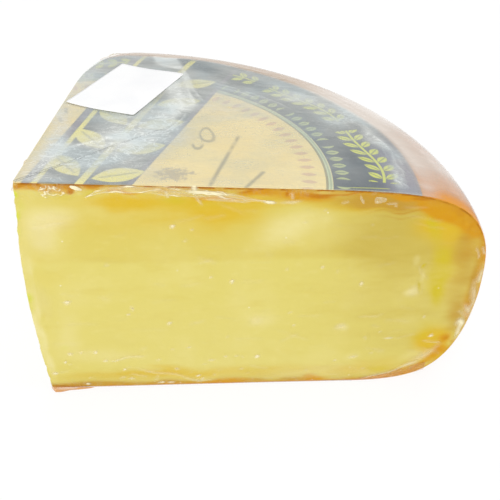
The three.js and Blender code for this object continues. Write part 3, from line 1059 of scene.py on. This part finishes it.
def rounded_rectangle(half, corner_radius, steps):
    """A grid of places in a rectangle, with those in a corner square drawn in to its arc."""
    u, v = (np.linspace(-1, 1, count + 1) for count in steps)
    grid_u, grid_v = np.meshgrid(u * half[0], v * half[1])
    core = half - corner_radius
    over_u = np.maximum(np.abs(grid_u) - core[0], 0)
    over_v = np.maximum(np.abs(grid_v) - core[1], 0)
    reach = np.maximum(np.hypot(over_u, over_v), 1e-9)
    shrink = np.where((over_u > 0) & (over_v > 0), np.maximum(over_u, over_v) / reach, 1)
    return (np.sign(grid_u) * (np.minimum(np.abs(grid_u), core[0]) + over_u * shrink),
            np.sign(grid_v) * (np.minimum(np.abs(grid_v), core[1]) + over_v * shrink))


def make_sticker():
    """A thin sheet with rounded corners that follows the film under it."""
    half = np.array([STICKER_LENGTH, STICKER_WIDTH]) / 2
    u, v = rounded_rectangle(half, STICKER_CORNER_RADIUS, STICKER_STEPS)
    cos, sin = math.cos(STICKER_ANGLE), math.sin(STICKER_ANGLE)
    x = STICKER_CENTRE[0] + u * cos - v * sin
    y = STICKER_CENTRE[1] + u * sin + v * cos
    curl = STICKER_CURL * (np.abs(u) / half[0]) ** 6 * (np.abs(v) / half[1]) ** 4
    ripple = STICKER_RIPPLE * rough_noise(x, y, *STICKER_NOISE)
    under = top_height(x, y) + STICKER_LIFT + film_swell(x, y) + curl + ripple
    made = slab("blank_sticker", np.stack([x, y, under], 2),
                np.stack([x, y, under + STICKER_THICKNESS], 2))
    finish_piece(made, sticker_material(), "price_sticker")


def sticker_material():
    paint = Paint("thermal_paper", STICKER_WHITE)
    paint.add(STICKER_GREY, paint.noise(18.0, detail=3.0).rise(0.4, 0.7) * 0.5)
    paint.bump(paint.noise(0.5, detail=2.0), 0.015)
    return paint.finish(Roughness=0.4, Coat_Weight=0.15, Coat_Roughness=0.2)


# ---- the film --------------------------------------------------------------------------

FILM_COUNTS = {"front": 270, "rim": 200, "left": 130, "corner": 7}
FILM_RING_COUNT = 150
FILM_EDGE_RINGS = 9
FILM_CAP_SHARES = list(1 - (np.arange(1, 100) / 100) ** 1.1 * 0.985)
FILM_TOP_LIFT = 0.8
FILM_WAVE = 0.08
FILM_NOISE = ((8, 8), 121)
CREASE_WARP = (1.2, 11, 17)

# Creases: width, height and points, in X and Z on the front cut and in X and Y on the top.
FRONT_CREASES = [
    (0.7, 0.15, (126, 108.4), (139, 107.6)), (0.8, 0.12, (128, 103), (147, 101)),
    (0.7, 0.12, (131, 99), (149, 97)), (0.6, 0.5, (163.6, 85.6), (165.4, 82), (166, 78.6)),
    (0.6, 0.7, (166.6, 86), (168.4, 81)), (0.8, 0.6, (169.4, 73), (170.4, 63.5)),
    (1, 0.5, (168, 62), (168.6, 52), (166, 46)), (0.7, 0.5, (164, 50), (167.6, 45)),
    (0.7, 0.4, (161.4, 47), (166, 42)), (1.1, 0.7, (162, 42.4), (165.6, 39), (165, 31)),
    (0.6, 0.55, (147.4, 27.8), (157.6, 26.2)), (1.4, 0.3, (141, 13), (150, 17), (158, 27)),
    (0.6, 0.6, (-9.4, 20.2), (0, 21.6), (9.4, 22.4)), (0.7, 0.5, (-10, 20.4), (-6, 20.6)),
    (0.8, 0.45, (0.7, 15), (12, 11), (29, 6), (44, 3.4)), (0.7, 0.3, (-2, 11), (9, 7.6)),
    (0.7, 0.6, (118, 2), (135.4, 8.2), (148, 13)), (0.8, 0.2, (-38, 100), (-20, 102)),
    (0.5, 0.7, (36, 114.7), (48, 113.4), (60, 111.9)),
    (0.6, 0.7, (33.6, 117.4), (35.4, 114), (37.6, 111)), (0.7, 0.7, (23.6, 117.6), (24.2, 113.6)),
    (0.6, 0.7, (76.4, 117), (77.8, 113.4)), (0.6, 0.3, (112, 46.4), (118, 45.6), (126, 46.6)),
    (0.6, 0.5, (117.6, 33), (119.4, 30)), (0.5, 0.6, (97.4, 111), (101.4, 112.2)),
    (0.4, 0.8, (119.4, 111), (124.8, 111.2)), (0.4, 0.8, (123, 109.9), (124.8, 109.8)),
    (0.8, 0.25, (138.6, 77), (140, 71), (143.6, 66))]
TOP_CREASES = [
    (1.4, 1, (26.7, 112), (27.8, 105.4), (30.4, 87.2), (31.9, 71.4), (33.7, 57.7)),
    (1.2, 0.9, (29.4, 104), (30.6, 98.5), (33.5, 79.9), (38.4, 66.8)),
    (0.7, 0.9, (16.9, 31.3), (21.8, 36), (25.3, 42.3), (29.3, 48.9), (32, 55.7)),
    (0.7, 0.5, (18.5, 29), (24, 37), (31, 47)), (1.2, 0.5, (24, 70), (29, 60), (26, 48)),
    (1, 0.5, (20, 64), (25, 52), (22, 42)), (0.9, 0.4, (35, 85), (44, 91), (58, 86)),
    (0.9, 0.5, (44, 88), (60, 80), (68, 72)), (0.8, 0.4, (57, 86), (72, 74), (84, 62)),
    (0.7, 0.4, (-30, -6), (-22, 3), (-10, 8)), (1, 0.5, (-26, 14), (-6, 25), (2, 23)),
    (0.7, 0.4, (-22, -13), (-14, 1), (-6, -4)), (0.6, 0.7, (119, 41), (122, 38.4)),
    (0.6, 0.6, (120, 43), (126, 33), (128.6, 22), (127, 12), (129, 2), (127.6, -9)),
    (0.5, 0.7, (126, 29), (124, 22), (124.6, 14)),
    (0.6, 0.8, (123, 5), (126.6, 2), (124, -5), (127, -10)),
    (0.5, 0.6, (121, 1), (127, -3), (130, 4), (126, 6)),
    (0.5, 0.6, (125, -6), (129, -9), (126, -13)), (0.8, 0.3, (110, 62), (121, 43))]

# Milky places, as spots, and painted highlights: small bright glints where the film stands off the
# cheese.
FRONT_HAZE = [
    (-27, 103, 9, 5, 0.12, 0.1), (-33, 94, 5, 6, 0.14), (-38, 60, 4, 9, 0.12, 0.1),
    (137.6, 60.5, 3.6, 3.4, 0.2), (105, 38, 3, 2, 0.3), (169, 60, 1.8, 14, 0.2, 0.05),
    (166.5, 47, 2.4, 5, 0.26, 0.5), (164, 40.4, 2.2, 2.6, 0.6), (165, 34.5, 1.1, 5, 0.5),
    (150, 18.5, 5, 2.4, 0.2, 0.5), (143, 13.4, 5, 1.8, 0.3, 0.4), (92, 8, 34, 4, 0.1, 0.05),
    (113.5, 18.5, 2.2, 1.6, 0.35), (63, 44, 3, 2.4, 0.2, 0.2), (76, 112.6, 4, 0.9, 0.4)]
FRONT_GLINTS = [
    (24.6, 100, 1.1, 0.8, 1, 0.3), (51, 69, 0.9, 0.9, 1), (-26.4, 58, 1.4, 0.9, 1),
    (20.8, 43.6, 1.2, 0.8, 0.8, 0.3), (3.6, 53.4, 0.7, 1.6, 0.6, 0.2), (1.6, 50, 0.8, 0.8, 0.6),
    (64, 20, 1.1, 0.9, 1), (93, 76, 0.8, 0.9, 0.7), (112.4, 65.6, 0.9, 1, 0.6),
    (151.5, 31.6, 1, 0.8, 1.1), (130, 30.7, 2.2, 0.6, 0.5), (36.6, 117.2, 4.6, 0.6, 1.3, -0.06),
    (67.4, 111.6, 2.2, 0.7, 1.3, -0.1), (34.6, 119.6, 1.2, 1.4, 0.9, 0.5),
    (44.6, 116.4, 3, 0.5, 0.8, -0.2), (146, 44, 0.7, 1, 0.4), (-16.4, 25.8, 0.8, 0.8, 1),
    (-12, 19.8, 1.2, 0.7, 0.8), (-3, 13.2, 0.7, 0.7, 1), (-32, 19.4, 0.7, 0.7, 1),
    (-29, 25, 1.2, 1, 0.6), (-38, 11.6, 1.4, 0.8, 0.9), (-22.4, 3.4, 1, 0.7, 0.9),
    (15.6, 3.2, 0.8, 0.6, 0.9), (20, 3, 1.8, 0.5, 0.7), (34, 7.2, 1, 0.6, 0.9, 0.3),
    (0, 6.6, 1.4, 0.8, 0.5)]
TOP_HAZE = [
    (27, 61, 8, 13, 0.34, 0.1), (23, 82, 6, 14, 0.28), (21, 44, 8, 8, 0.18), (6, 38, 18, 16, 0.26),
    (5, 20, 18, 14, 0.24), (18, 55, 10, 8, 0.16), (-27, 12, 7, 8, 0.18), (8, -2, 14, 9, 0.12),
    (-28, -12, 8, 5, 0.25), (-8, 14, 22, 18, 0.26, 0.2), (-14, -2, 18, 10, 0.16, 0.2),
    (20, 26, 14, 14, 0.1, 0.3), (112, 60, 14, 7, 0.2, -1), (88, 78, 22, 8, 0.2, -0.75),
    (106, 40, 16, 10, 0.06, 0.3), (123, 37, 4.4, 10, 0.27, 0.45), (127, 14, 3.4, 20, 0.2),
    (131, 20, 3, 26, 0.08, 0.15), (127.4, -6, 3.6, 8, 0.2), (112, -13, 11, 11, -0.18),
    (112, 9, 8, 14, -0.12, 0.1), (98, -14, 8, 8, -0.1), (104, 50, 9, 7, 0.2, -0.5),
    (-26, 92, 8, 26, 0.14, -0.25), (8, 140, 40, 14, 0.12, -0.1), (52, 64, 30, 16, 0.04, 0.4),
    (-32, 18, 6, 42, 0.36, -0.1), (42, 112, 14, 8, -0.24, -0.3), (68, 92, 18, 7, -0.2, -0.5),
    (24, 122, 14, 7, -0.14, -0.1), (100, 138, 20, 8, -0.16, -0.7)]
# A smooth flap of film behind the sticker: its corners as (x, y), anticlockwise.
TOP_FLAP = [(8, 134), (11, 114), (28, 104), (29, 112), (24, 134)]
FLAP_HAZE = 0.36

# Milkiness away from the marks above, and how much clouds and creases add to it; what creases add
# is partly milkiness and partly a painted highlight along their crests.
FRONT_HAZE_WARP = (1.5, 7, 33)
FRONT_HAZE_LEAST = 0.01
LEFT_HAZE_LEAST = 0.02
LEFT_CLOUD_HAZE = 0.07
LEFT_CLOUDS = ((22, 14), 101)
TOP_HAZE_WARP = (4.0, 16, 35)
UNDER_HAZE = 0.3
MIDDLE_HAZE = 0.34
FRONT_CREASE_HAZE_AND_HIGHLIGHT = 0.6
LEFT_CREASE_HAZE_AND_HIGHLIGHT = 0.5
RIM_CREASE_HAZE_AND_HIGHLIGHT = 0.06
RIM_CLOUD_HAZE = 0.06
RIM_CLOUDS = ((20, 26), 111)
TOP_CREASE_HAZE_AND_HIGHLIGHT = 0.22
RIM_CREASE_HEIGHT = 1.5
TOP_CREASE_HEIGHT = 0.8

# Amounts in steps: the first one, then where each step starts and ends and what it adds.
RIM_HAZE = (0.04, (-16, -4, 0.38), (-6, 18, 0.34))
RIM_GLOW = (0.08, (60, 100, 0.06), (-3, -11, 0.3))
RIM_HAZE_BY_HEIGHT = (0.25, (40, 103, 0.75))
LABEL_HAZE = (0.27, (10, 110, 0.3))
FRONT_CRINKLE = (0.02, (10, 3, 0.16), (112, 117, 0.2))
LEFT_CRINKLE = 0.06
RIM_CRINKLE = 0.08
TOP_CRINKLE = 0.08
MIDDLE_CRINKLE = 0.1

# The darker film tint at the rim's far end is painted shade.
FILM_ATTRIBUTES = ("haze", "crinkle", "cream", "peach", "dim", "amber")
STREAK_SEED = 5
STREAK_COUNT = 60
STREAK_HEIGHT = 0.2
# Extra creases along the left cut's top and base: how many, and the heights they lie between.
LEFT_EDGE_STREAKS = [(34, (113, 120)), (16, (2, 9))]
GLINT_SEED = 21
GLINT_COUNT = 22
# Where glints fall, in two ranges of X and Z: the lower left, and the whole of the cut.
GLINT_RANGES = [((-22, 60), (3, 28)), ((-32, 160), (8, 110))]


def random_streaks(count, seed, across, up, tilt, tallest=STREAK_HEIGHT):
    """Short straight creases scattered over a face."""
    draw = np.random.default_rng(seed)
    made = []
    for _ in range(count):
        u, v = draw.uniform(*across), draw.uniform(*up)
        length, angle = draw.uniform(4, 17), draw.normal(0, tilt)
        du, dv = length / 2 * math.cos(angle), length / 2 * math.sin(angle)
        width, height = draw.uniform(0.6, 1.1), draw.uniform(0.25 * tallest, tallest)
        made.append((width, height, (u - du, v - dv), (u + du, v + dv)))
    return made


def random_glints():
    """Painted highlights: small bright glints scattered over a cut, as spots."""
    draw = np.random.default_rng(GLINT_SEED)
    centres = [(draw.uniform(*across), draw.uniform(*up))
               for across, up in GLINT_RANGES for _ in range(GLINT_COUNT)]
    glints = []
    for centre in centres:
        radii = draw.uniform(0.6, 1.3), draw.uniform(0.6, 0.8)
        tilt, strength = draw.uniform(-0.6, 0.6), draw.uniform(0.15, 0.5)
        glints.append((*centre, *radii, strength, tilt))
    return glints


def crease_relief(u, v, creases):
    """Height of the creases over a face."""
    u, v = warped(u, v, *CREASE_WARP)
    return sum(crease(u, v, line, width) * height for width, height, *line in creases)


def facet(u, v, corners, softness):
    """1 inside an outline without hollows, given anticlockwise, and 0 outside."""
    inside = np.ones(u.shape)
    for (u0, v0), (u1, v1) in zip(corners, corners[1:] + corners[:1]):
        length = math.hypot(u1 - u0, v1 - v0)
        inward = ((u1 - u0) * (v - v0) - (v1 - v0) * (u - u0)) / length
        inside = inside * smooth_step(inward, 0, softness)
    return inside


def rim_haze(arc, reach, z):
    """Milkiness of the film on the wax, by the place along the rim.

    It thins out down the side, and is thickest where the film leaves the label's edge.
    """
    haze = stepped(arc, *RIM_HAZE) + 0.22 * blob(arc, 0 * arc, (98, 0), (34, 1))
    glow = stepped(arc, *RIM_GLOW) * smooth_step(reach, 148, 138)
    return (haze + glow * (z > HALF_HEIGHT)) * stepped(z, *RIM_HAZE_BY_HEIGHT)


def far_along(arc):
    """How much a place belongs to the rim's far end, where the film gets painted shade."""
    return smooth_step(arc, 105, 160)


def set_film_attributes(made, **values):
    """Sets each of the film's attributes, 0 where none is given."""
    count = len(made.data.vertices)
    for name in FILM_ATTRIBUTES:
        set_attribute(made, name, np.clip(values.get(name, np.zeros(count)), 0, 1))


def side_creases():
    """Creases on the front cut, the left cut and the rim."""
    front = FRONT_CREASES + random_streaks(
        STREAK_COUNT, STREAK_SEED, (-34, 160), (6, 112), 0.3)
    left = random_streaks(STREAK_COUNT, STREAK_SEED + 1, (6, 176), (6, 112), 0.4)
    rim = random_streaks(STREAK_COUNT, STREAK_SEED + 2, (4, 112), (-16, 290), 0.4)
    for number, (count, up) in enumerate(LEFT_EDGE_STREAKS):
        left += random_streaks(count, STREAK_SEED + 4 + number, (4, 168), up, 0.14, 1.0)
    return front, left, rim


def front_film_haze_and_highlights(x, z, relief):
    """Milkiness of the film on the front cut, with painted highlights: set patches, glints and
    what creases add.
    """
    return (patches(*warped(x, z, *FRONT_HAZE_WARP), FRONT_HAZE)
            + patches(x, z, FRONT_GLINTS + random_glints())
            + FRONT_HAZE_LEAST + FRONT_CREASE_HAZE_AND_HIGHLIGHT * relief)


def left_film_haze_and_highlights(along, z, relief):
    """Milkiness of the film on the left cut, with painted highlights: glints, random clouds and
    what creases add.
    """
    clouds = smooth_step(rough_noise(along, z, *LEFT_CLOUDS), 0.1, 0.9)
    return (patches(along, z, random_glints()) + LEFT_CLOUD_HAZE * clouds
            + LEFT_HAZE_LEAST + LEFT_CREASE_HAZE_AND_HIGHLIGHT * relief)


def rim_film_haze_and_highlights(arc, reach, z, relief):
    """Milkiness of the film on the rim, with random clouds, and what creases add, partly a painted
    highlight.
    """
    return (rim_haze(arc, reach, z) + RIM_CLOUD_HAZE * rough_noise(arc, z, *RIM_CLOUDS)
            + RIM_CREASE_HAZE_AND_HIGHLIGHT * relief)


def make_film_sides(material):
    """The film round the sides and underneath. Gives the side's highest ring."""
    levels = side_levels(FILM_RING_COUNT, FILM_EDGE_RINGS)
    side, front, left = wedge_shell(FILM_COUNTS, levels, 0.0, FILM_TOP_LIFT, 0.0)
    left = smooth_step(left * (front < 1), 0.3, 0.7)
    rim = 1 - np.maximum(front, left)
    x, y, z = (side[..., axis] for axis in range(3))
    along, arc = from_point(x, y), rim_arc(x, y)

    front_creases, left_creases, rim_creases = side_creases()
    front_relief = crease_relief(x, z, front_creases)
    left_relief = crease_relief(along, z, left_creases)
    rim_relief = crease_relief(z, arc, rim_creases) * RIM_CREASE_HEIGHT
    relief = front * front_relief + left * left_relief + rim * rim_relief
    relief = relief - (1 - rim) * point_wear(along, z)
    # Nothing stands out where the shell meets its top and its base.
    high = (z - z[0]) / (z[-1] - z[0])
    relief = relief * smooth_step(high, 0, 0.02) * smooth_step(high, 1, 0.985)
    side = side + grid_normals(side) * relief[..., None]

    # Milkiness, with painted highlights from glints and along crease crests.
    haze = (front * front_film_haze_and_highlights(x, z, front_relief)
            + left * left_film_haze_and_highlights(along, z, left_relief)
            + rim * rim_film_haze_and_highlights(arc, np.hypot(x, y), z, rim_relief))
    crinkle = front * stepped(z, *FRONT_CRINKLE) + left * LEFT_CRINKLE + rim * RIM_CRINKLE

    base = base_rings(side[0])
    made = shell_object("cling_film_sides", np.concatenate([base, side]),
                        np.append(WEDGE_CENTRE, side[0, :, 2].mean()))

    def with_base(values):
        under = np.full(base.size // 3, UNDER_HAZE)
        return np.concatenate([under, np.broadcast_to(values, x.shape).ravel(), [UNDER_HAZE]])

    set_film_attributes(
        made, haze=with_base(haze), crinkle=with_base(crinkle), cream=with_base(1 - rim),
        peach=with_base(rim), dim=with_base(rim * far_along(arc)))
    finish_piece(made, material)
    return side[-1]


def make_film_top(material, outline):
    """The film over the label and the rim's shoulder, inward from the sides' highest ring."""
    cap = shrunk_rings(outline, [1.0] + FILM_CAP_SHARES, FILM_TOP_LIFT)
    cap[0] = outline
    x, y = cap[..., 0], cap[..., 1]
    inward = smooth_step(np.linspace(0, 1, len(cap))[:, None], 0, 0.05)
    creases = TOP_CREASES + random_streaks(
        STREAK_COUNT * 2, STREAK_SEED + 3, (-30, 150), (-12, 150), 0.5)
    relief = crease_relief(x, y, creases) * inward
    cap[..., 2] += relief * TOP_CREASE_HEIGHT
    cap[..., 2] += FILM_WAVE * inward * (1 + rough_noise(x, y, *FILM_NOISE))
    cap[..., 2] += inward * film_swell(x, y)
    middle = (top_height(*WEDGE_CENTRE) + FILM_TOP_LIFT + FILM_WAVE
              + film_swell(*WEDGE_CENTRE))
    made = shell_object("cling_film_top", cap, high_centre=np.append(WEDGE_CENTRE, middle))

    reach, arc = np.hypot(x, y), rim_arc(x, y)
    clouds = patches(*warped(x, y, *TOP_HAZE_WARP), TOP_HAZE)
    on_wax = smooth_step(reach + 3 * smooth_step(arc, 40, 110), 132.5, 138)
    far_edge = (smooth_step(reach, 124, 134) * smooth_step(arc, 45, 75)
                * smooth_step(arc, 150, 115))
    on_label = stepped(y, *LABEL_HAZE) + clouds + 0.2 * far_edge
    haze = on_label * (1 - on_wax) + rim_haze(arc, reach, cap[..., 2]) * on_wax
    # Creases add milkiness and a painted highlight along their crests.
    haze = haze + relief * TOP_CREASE_HAZE_AND_HIGHLIGHT + FLAP_HAZE * facet(x, y, TOP_FLAP, 3.0)
    crinkle = TOP_CRINKLE + 1.4 * np.maximum(clouds, 0) ** 1.2
    set_film_attributes(
        made, haze=np.append(haze, MIDDLE_HAZE), crinkle=np.append(crinkle, MIDDLE_CRINKLE),
        peach=np.append(on_wax, 0), dim=np.append(on_wax * far_along(arc), 0))
    finish_piece(made, material)


# Bunched film along the edges of the front cut. A path's points are (x, z, half width), and
# grain is the size of the folds along and across it. The folds' crests get a painted highlight.
BUNCHES = {
    "film_curls": dict(
        path=[(-31, 118.6, 1.6), (-28, 118.3, 3.2), (-23.8, 118.2, 3.2), (-20, 117.4, 1.4)],
        height=0.8, haze=0.12, crest_highlight=1.3, grain=(2.1, 2.1)),
    "film_leaf": dict(
        path=[(-17.8, 120.6, 0.6), (-15.4, 119.9, 1.2), (-12.6, 118.9, 0.6)],
        height=0.4, haze=1.0, crest_highlight=0.6, grain=(5.0, 1.0)),
    "film_fold": dict(
        path=[(-12.8, 114.6, 0.8), (-8, 117.2, 1.1), (-3, 118.8, 1.8), (10, 118.8, 2.0),
              (24, 118.0, 2.3), (38, 116.6, 2.3), (50, 114.8, 1.8), (60, 113.0, 1.2),
              (69.4, 111.4, 0.6)],
        height=0.6, haze=0.3, crest_highlight=1.2, grain=(11.0, 1.1)),
    "film_gather": dict(
        path=[(106.6, 114, 1.0), (107.6, 112.4, 1.2), (109, 110.6, 0.9)],
        height=0.4, haze=0.5, crest_highlight=0.3, grain=(2.0, 1.4)),
    "film_pleat": dict(
        path=[(113.2, 112, 1.6), (116, 111.9, 1.8), (118.8, 112.2, 1.2)],
        height=0.4, haze=0.5, crest_highlight=0.3, grain=(3.0, 1.4)),
    "film_tail": dict(
        path=[(117, 1.6, 0.8), (128, 3.6, 1.5), (138, 6.2, 2.2), (146, 8.6, 2.8),
              (151.4, 10.4, 3.2)],
        height=0.5, haze=0.5, crest_highlight=0.4, grain=(14.0, 1.4), amber=1, blunt=True, back=2.6),
    "film_hem": dict(
        path=[(-41.4, 1.3, 1.5), (-36, 1.1, 1.3), (-28, 0.9, 0.8), (-19, 0.8, 0.2)],
        height=3.0, haze=1.2, crest_highlight=0.0, grain=(16.0, 9.0), amber=1)}
BUNCH_BACK = 0.9          # how far the bodies reach into the cheese
BUNCH_STEP = 0.22
BUNCH_SEED = 300
FOLD_WARP = (0.6, 3)
SMOOTH_GRAIN = 5.0        # folds at least this wide across are smooth and have no crests
LOWEST_FILM = 0.4


def front_face(x, z):
    """Y of the front cut's surface."""
    near_rim = np.minimum((x - APEX[0]) / BULGE_FADE_LENGTH, 1)
    rise = np.clip(z / top_height(x, APEX[1]), 0, 1)
    swell = FRONT_CUT_BULGE * (1 - near_rim ** 2) + cut_wave(x - APEX[0], z)
    return APEX[1] - swell * np.sin(np.pi * rise)


def make_bunch(name, seed, material, path, height, haze, crest_highlight, grain,
               amber=0, blunt=False, back=BUNCH_BACK):
    """A closed body of fine folds, with painted highlights on their crests. A blunt one doesn't
    narrow at its far end.
    """
    path = np.array(path, float)
    passed = np.concatenate([[0], np.cumsum(np.hypot(*np.diff(path[:, :2], axis=0).T))])
    run = np.linspace(0, passed[-1], int(passed[-1] / BUNCH_STEP))
    spine_x, spine_z, half_width = (np.interp(run, passed, part) for part in path.T)
    share = run / passed[-1]
    ends = np.sqrt(np.clip(np.minimum(share, 1 if blunt else 1 - share) * 9, 0.01, 1))
    across = np.linspace(-1, 1, int(2 * path[:, 2].max() / BUNCH_STEP) + 3)[:, None]
    half_width = half_width * ends * (1 + 0.2 * soft_noise(run, 0 * run, (5, 5), seed))
    x = spine_x + 0 * across
    highest = top_height(x, APEX[1]) + FILM_TOP_LIFT - 0.2
    z = np.clip(spine_z + half_width * across, LOWEST_FILM, highest)

    u, v = warped(run + 0 * across, half_width * across, *FOLD_WARP, seed + 5)
    folds = rough_noise(u, v, grain, seed + 1, 2)
    crest = 1 + 0.2 * folds
    if grain[1] < SMOOTH_GRAIN:
        crest = np.clip(1 - np.abs(folds) * 4, 0, 1)
    bulge = np.sqrt(1 - across ** 2) * ends
    face = front_face(x, z)
    rise = height * bulge * (0.3 + 0.7 * crest) * half_width / half_width.max()
    made = slab(name, np.stack([x, face + back, z], 2), np.stack([x, face - rise, z], 2))

    # Milkiness with painted highlights: bright fold crests and the glints that fall on the bunch.
    patchy = 0.6 + 0.4 * smooth_step(soft_noise(u, v, (5, 3), seed + 7), -0.4, 0.4)
    glow = (haze + crest_highlight * crest ** 2) * patchy + patches(x, z, FRONT_GLINTS)
    glow = glow * np.minimum(bulge * 2, 1)
    behind = np.zeros(glow.size)
    set_film_attributes(
        made, haze=np.concatenate([behind, glow.ravel()]),
        cream=np.ones(2 * glow.size), amber=np.full(2 * glow.size, amber))
    finish_piece(made, material)


def make_film():
    material = film_material()
    outline = make_film_sides(material)
    make_film_top(material, outline)
    for number, (name, bunch) in enumerate(BUNCHES.items()):
        make_bunch(name, BUNCH_SEED + 10 * number, material, **bunch)


FILM_WHITE = srgb(232, 235, 230)
FILM_BLUISH = srgb(208, 220, 222)
# Tints of the film; the darker brownish one at the rim's far end is painted shade.
FILM_COLOURS = {
    "cream": srgb(255, 246, 205), "peach": srgb(232, 221, 210), "dim": srgb(202, 181, 158),
    "amber": srgb(226, 166, 98)}
MOST_HAZE = 0.95


def film_material():
    """Clear film: its opacity is its haze, which also carries painted highlights, with fine bright
    lines where it is crinkled.
    """
    paint = Paint("cling_film", FILM_WHITE)
    cloud = paint.noise(21.0, detail=3.0, seed=4.0)
    paint.add(FILM_BLUISH, cloud.rise(0.4, 0.65) * 0.7)
    for name, colour in FILM_COLOURS.items():
        paint.add(colour, paint.attribute(name))
    smears = paint.noise((20.0, 7.0, 10.0), detail=2.0, distortion=0.8)
    wide = paint.noise((12.0, 7.0, 14.0), detail=3.0, roughness=0.6, seed=9.0, distortion=1.2)
    fine = paint.noise((5.0, 3.5, 7.0), detail=3.0, roughness=0.6, seed=2.0, distortion=1.5)
    lines = ((wide - 0.5).size().rise(0.035, 0.0) * 0.7
             + (fine - 0.5).size().rise(0.04, 0.0) * 0.45)
    # On the wax the film lies flatter and is more even.
    loose = paint.attribute("peach").flipped() * 0.6 + 0.4
    blotches = cloud.rise(0.3, 0.7) * 0.24 + smears.rise(0.35, 0.7) * 0.16 - 0.2
    haze = paint.attribute("haze") * (blotches * loose + 1)
    amount = haze + paint.attribute("crinkle") * lines * 0.6
    paint.bump(paint.noise((9.0, 5.0, 7.0), detail=3.0, seed=2.0) * loose, 0.4)
    paint.material.surface_render_method = "BLENDED"
    return paint.finish(Alpha=amount.least(MOST_HAZE), Roughness=0.16, IOR=1.48)


# ---- surroundings ----------------------------------------------------------------------

# Metres; the floor is flat out to a share of its half width and bends up beyond.
FLOOR_HALF = 3.0
FLOOR_STEPS = 24
FLOOR_FLAT_SHARE = 0.7
FLOOR_BEND = 0.5
FLOOR_PALE = srgb(96, 96, 96)
FLOOR_GREY = srgb(93, 93, 94)
FLOOR_GLOW = 0.88         # the light it gives of its own, which makes it nearly white

FOCAL_PIXELS = 735.74
PHOTO_PIXELS = 500
SENSOR_WIDTH = 36.0
CAMERA_SPOT = (40.47, -287.21, 280.82)
CAMERA_PITCH = 0.62153
CAMERA_YAW = 0.06864
CAMERA_ROLL = 0.02399

# Square softboxes aimed at the wedge: place and size in metres, and power in watts.
LIGHT_AIM = Vector((0, 0, 0.05))
LIGHTS = {
    "overhead": ((0.1, 0.25, 1.3), (1.2, 0.9), 7.5),
    "front_key": ((-0.7, -1.0, 0.9), (0.7, 0.7), 8),
    "right_fill": ((1.1, -0.3, 0.6), (0.4, 0.8), 3)}
WORLD_STRENGTH = 0.45


def make_floor():
    """A pale floor whose edges bend up far outside the picture."""
    line = np.linspace(-FLOOR_HALF, FLOOR_HALF, FLOOR_STEPS + 1)
    grid_x, grid_y = np.meshgrid(line, line)
    reach = np.maximum(np.abs(grid_x), np.abs(grid_y))
    rise = np.maximum(reach - FLOOR_HALF * FLOOR_FLAT_SHARE, 0) ** 2 * FLOOR_BEND
    points = np.stack([grid_x, grid_y, rise], 2).reshape(-1, 3)
    floor = smooth_mesh("studio_floor", points, grid_quads(*grid_x.shape).tolist())
    floor.data.materials.append(floor_material())


def floor_material():
    paint = Paint("pale_floor", FLOOR_PALE)
    paint.add(FLOOR_GREY, paint.noise(400.0).rise(0.4, 0.6))
    return paint.finish(
        Roughness=0.8, Emission_Color=(1, 1, 1, 1), Emission_Strength=FLOOR_GLOW)


def make_camera():
    pitch, yaw, roll = CAMERA_PITCH, CAMERA_YAW, CAMERA_ROLL
    forward = Vector((math.sin(yaw) * math.cos(pitch), math.cos(yaw) * math.cos(pitch),
                      -math.sin(pitch)))
    level = Vector((math.cos(yaw), -math.sin(yaw), 0))
    upright = level.cross(forward)
    right = level * math.cos(roll) + upright * math.sin(roll)
    up = upright * math.cos(roll) - level * math.sin(roll)
    data = bpy.data.cameras.new("camera")
    data.sensor_width = SENSOR_WIDTH
    data.lens = FOCAL_PIXELS / PHOTO_PIXELS * SENSOR_WIDTH
    data.clip_start = 0.01
    camera = add_object("camera", data)
    turn = Matrix((right, up, -forward)).transposed()
    camera.matrix_world = Matrix.Translation(Vector(place(CAMERA_SPOT))) @ turn.to_4x4()
    bpy.context.scene.camera = camera


def make_light(name, spot, size, power):
    data = bpy.data.lights.new(name, "AREA")
    data.shape = "RECTANGLE"
    data.size, data.size_y = size
    data.energy = power
    light = add_object(name, data)
    light.location = spot
    light.rotation_mode = "QUATERNION"
    light.rotation_quaternion = (LIGHT_AIM - Vector(spot)).to_track_quat("-Z", "Y")


def make_world():
    world = bpy.data.worlds.new("studio")
    world.use_nodes = True
    background = world.node_tree.nodes["Background"]
    background.inputs["Color"].default_value = (1, 1, 1, 1)
    background.inputs["Strength"].default_value = WORLD_STRENGTH
    bpy.context.scene.world = world


make_cheese()
make_label()
make_sticker()
make_film()
make_floor()
make_camera()
make_world()
for light_name, light_values in LIGHTS.items():
    make_light(light_name, *light_values)

view = bpy.context.scene.view_settings
view.view_transform = "Standard"
view.look = "None"
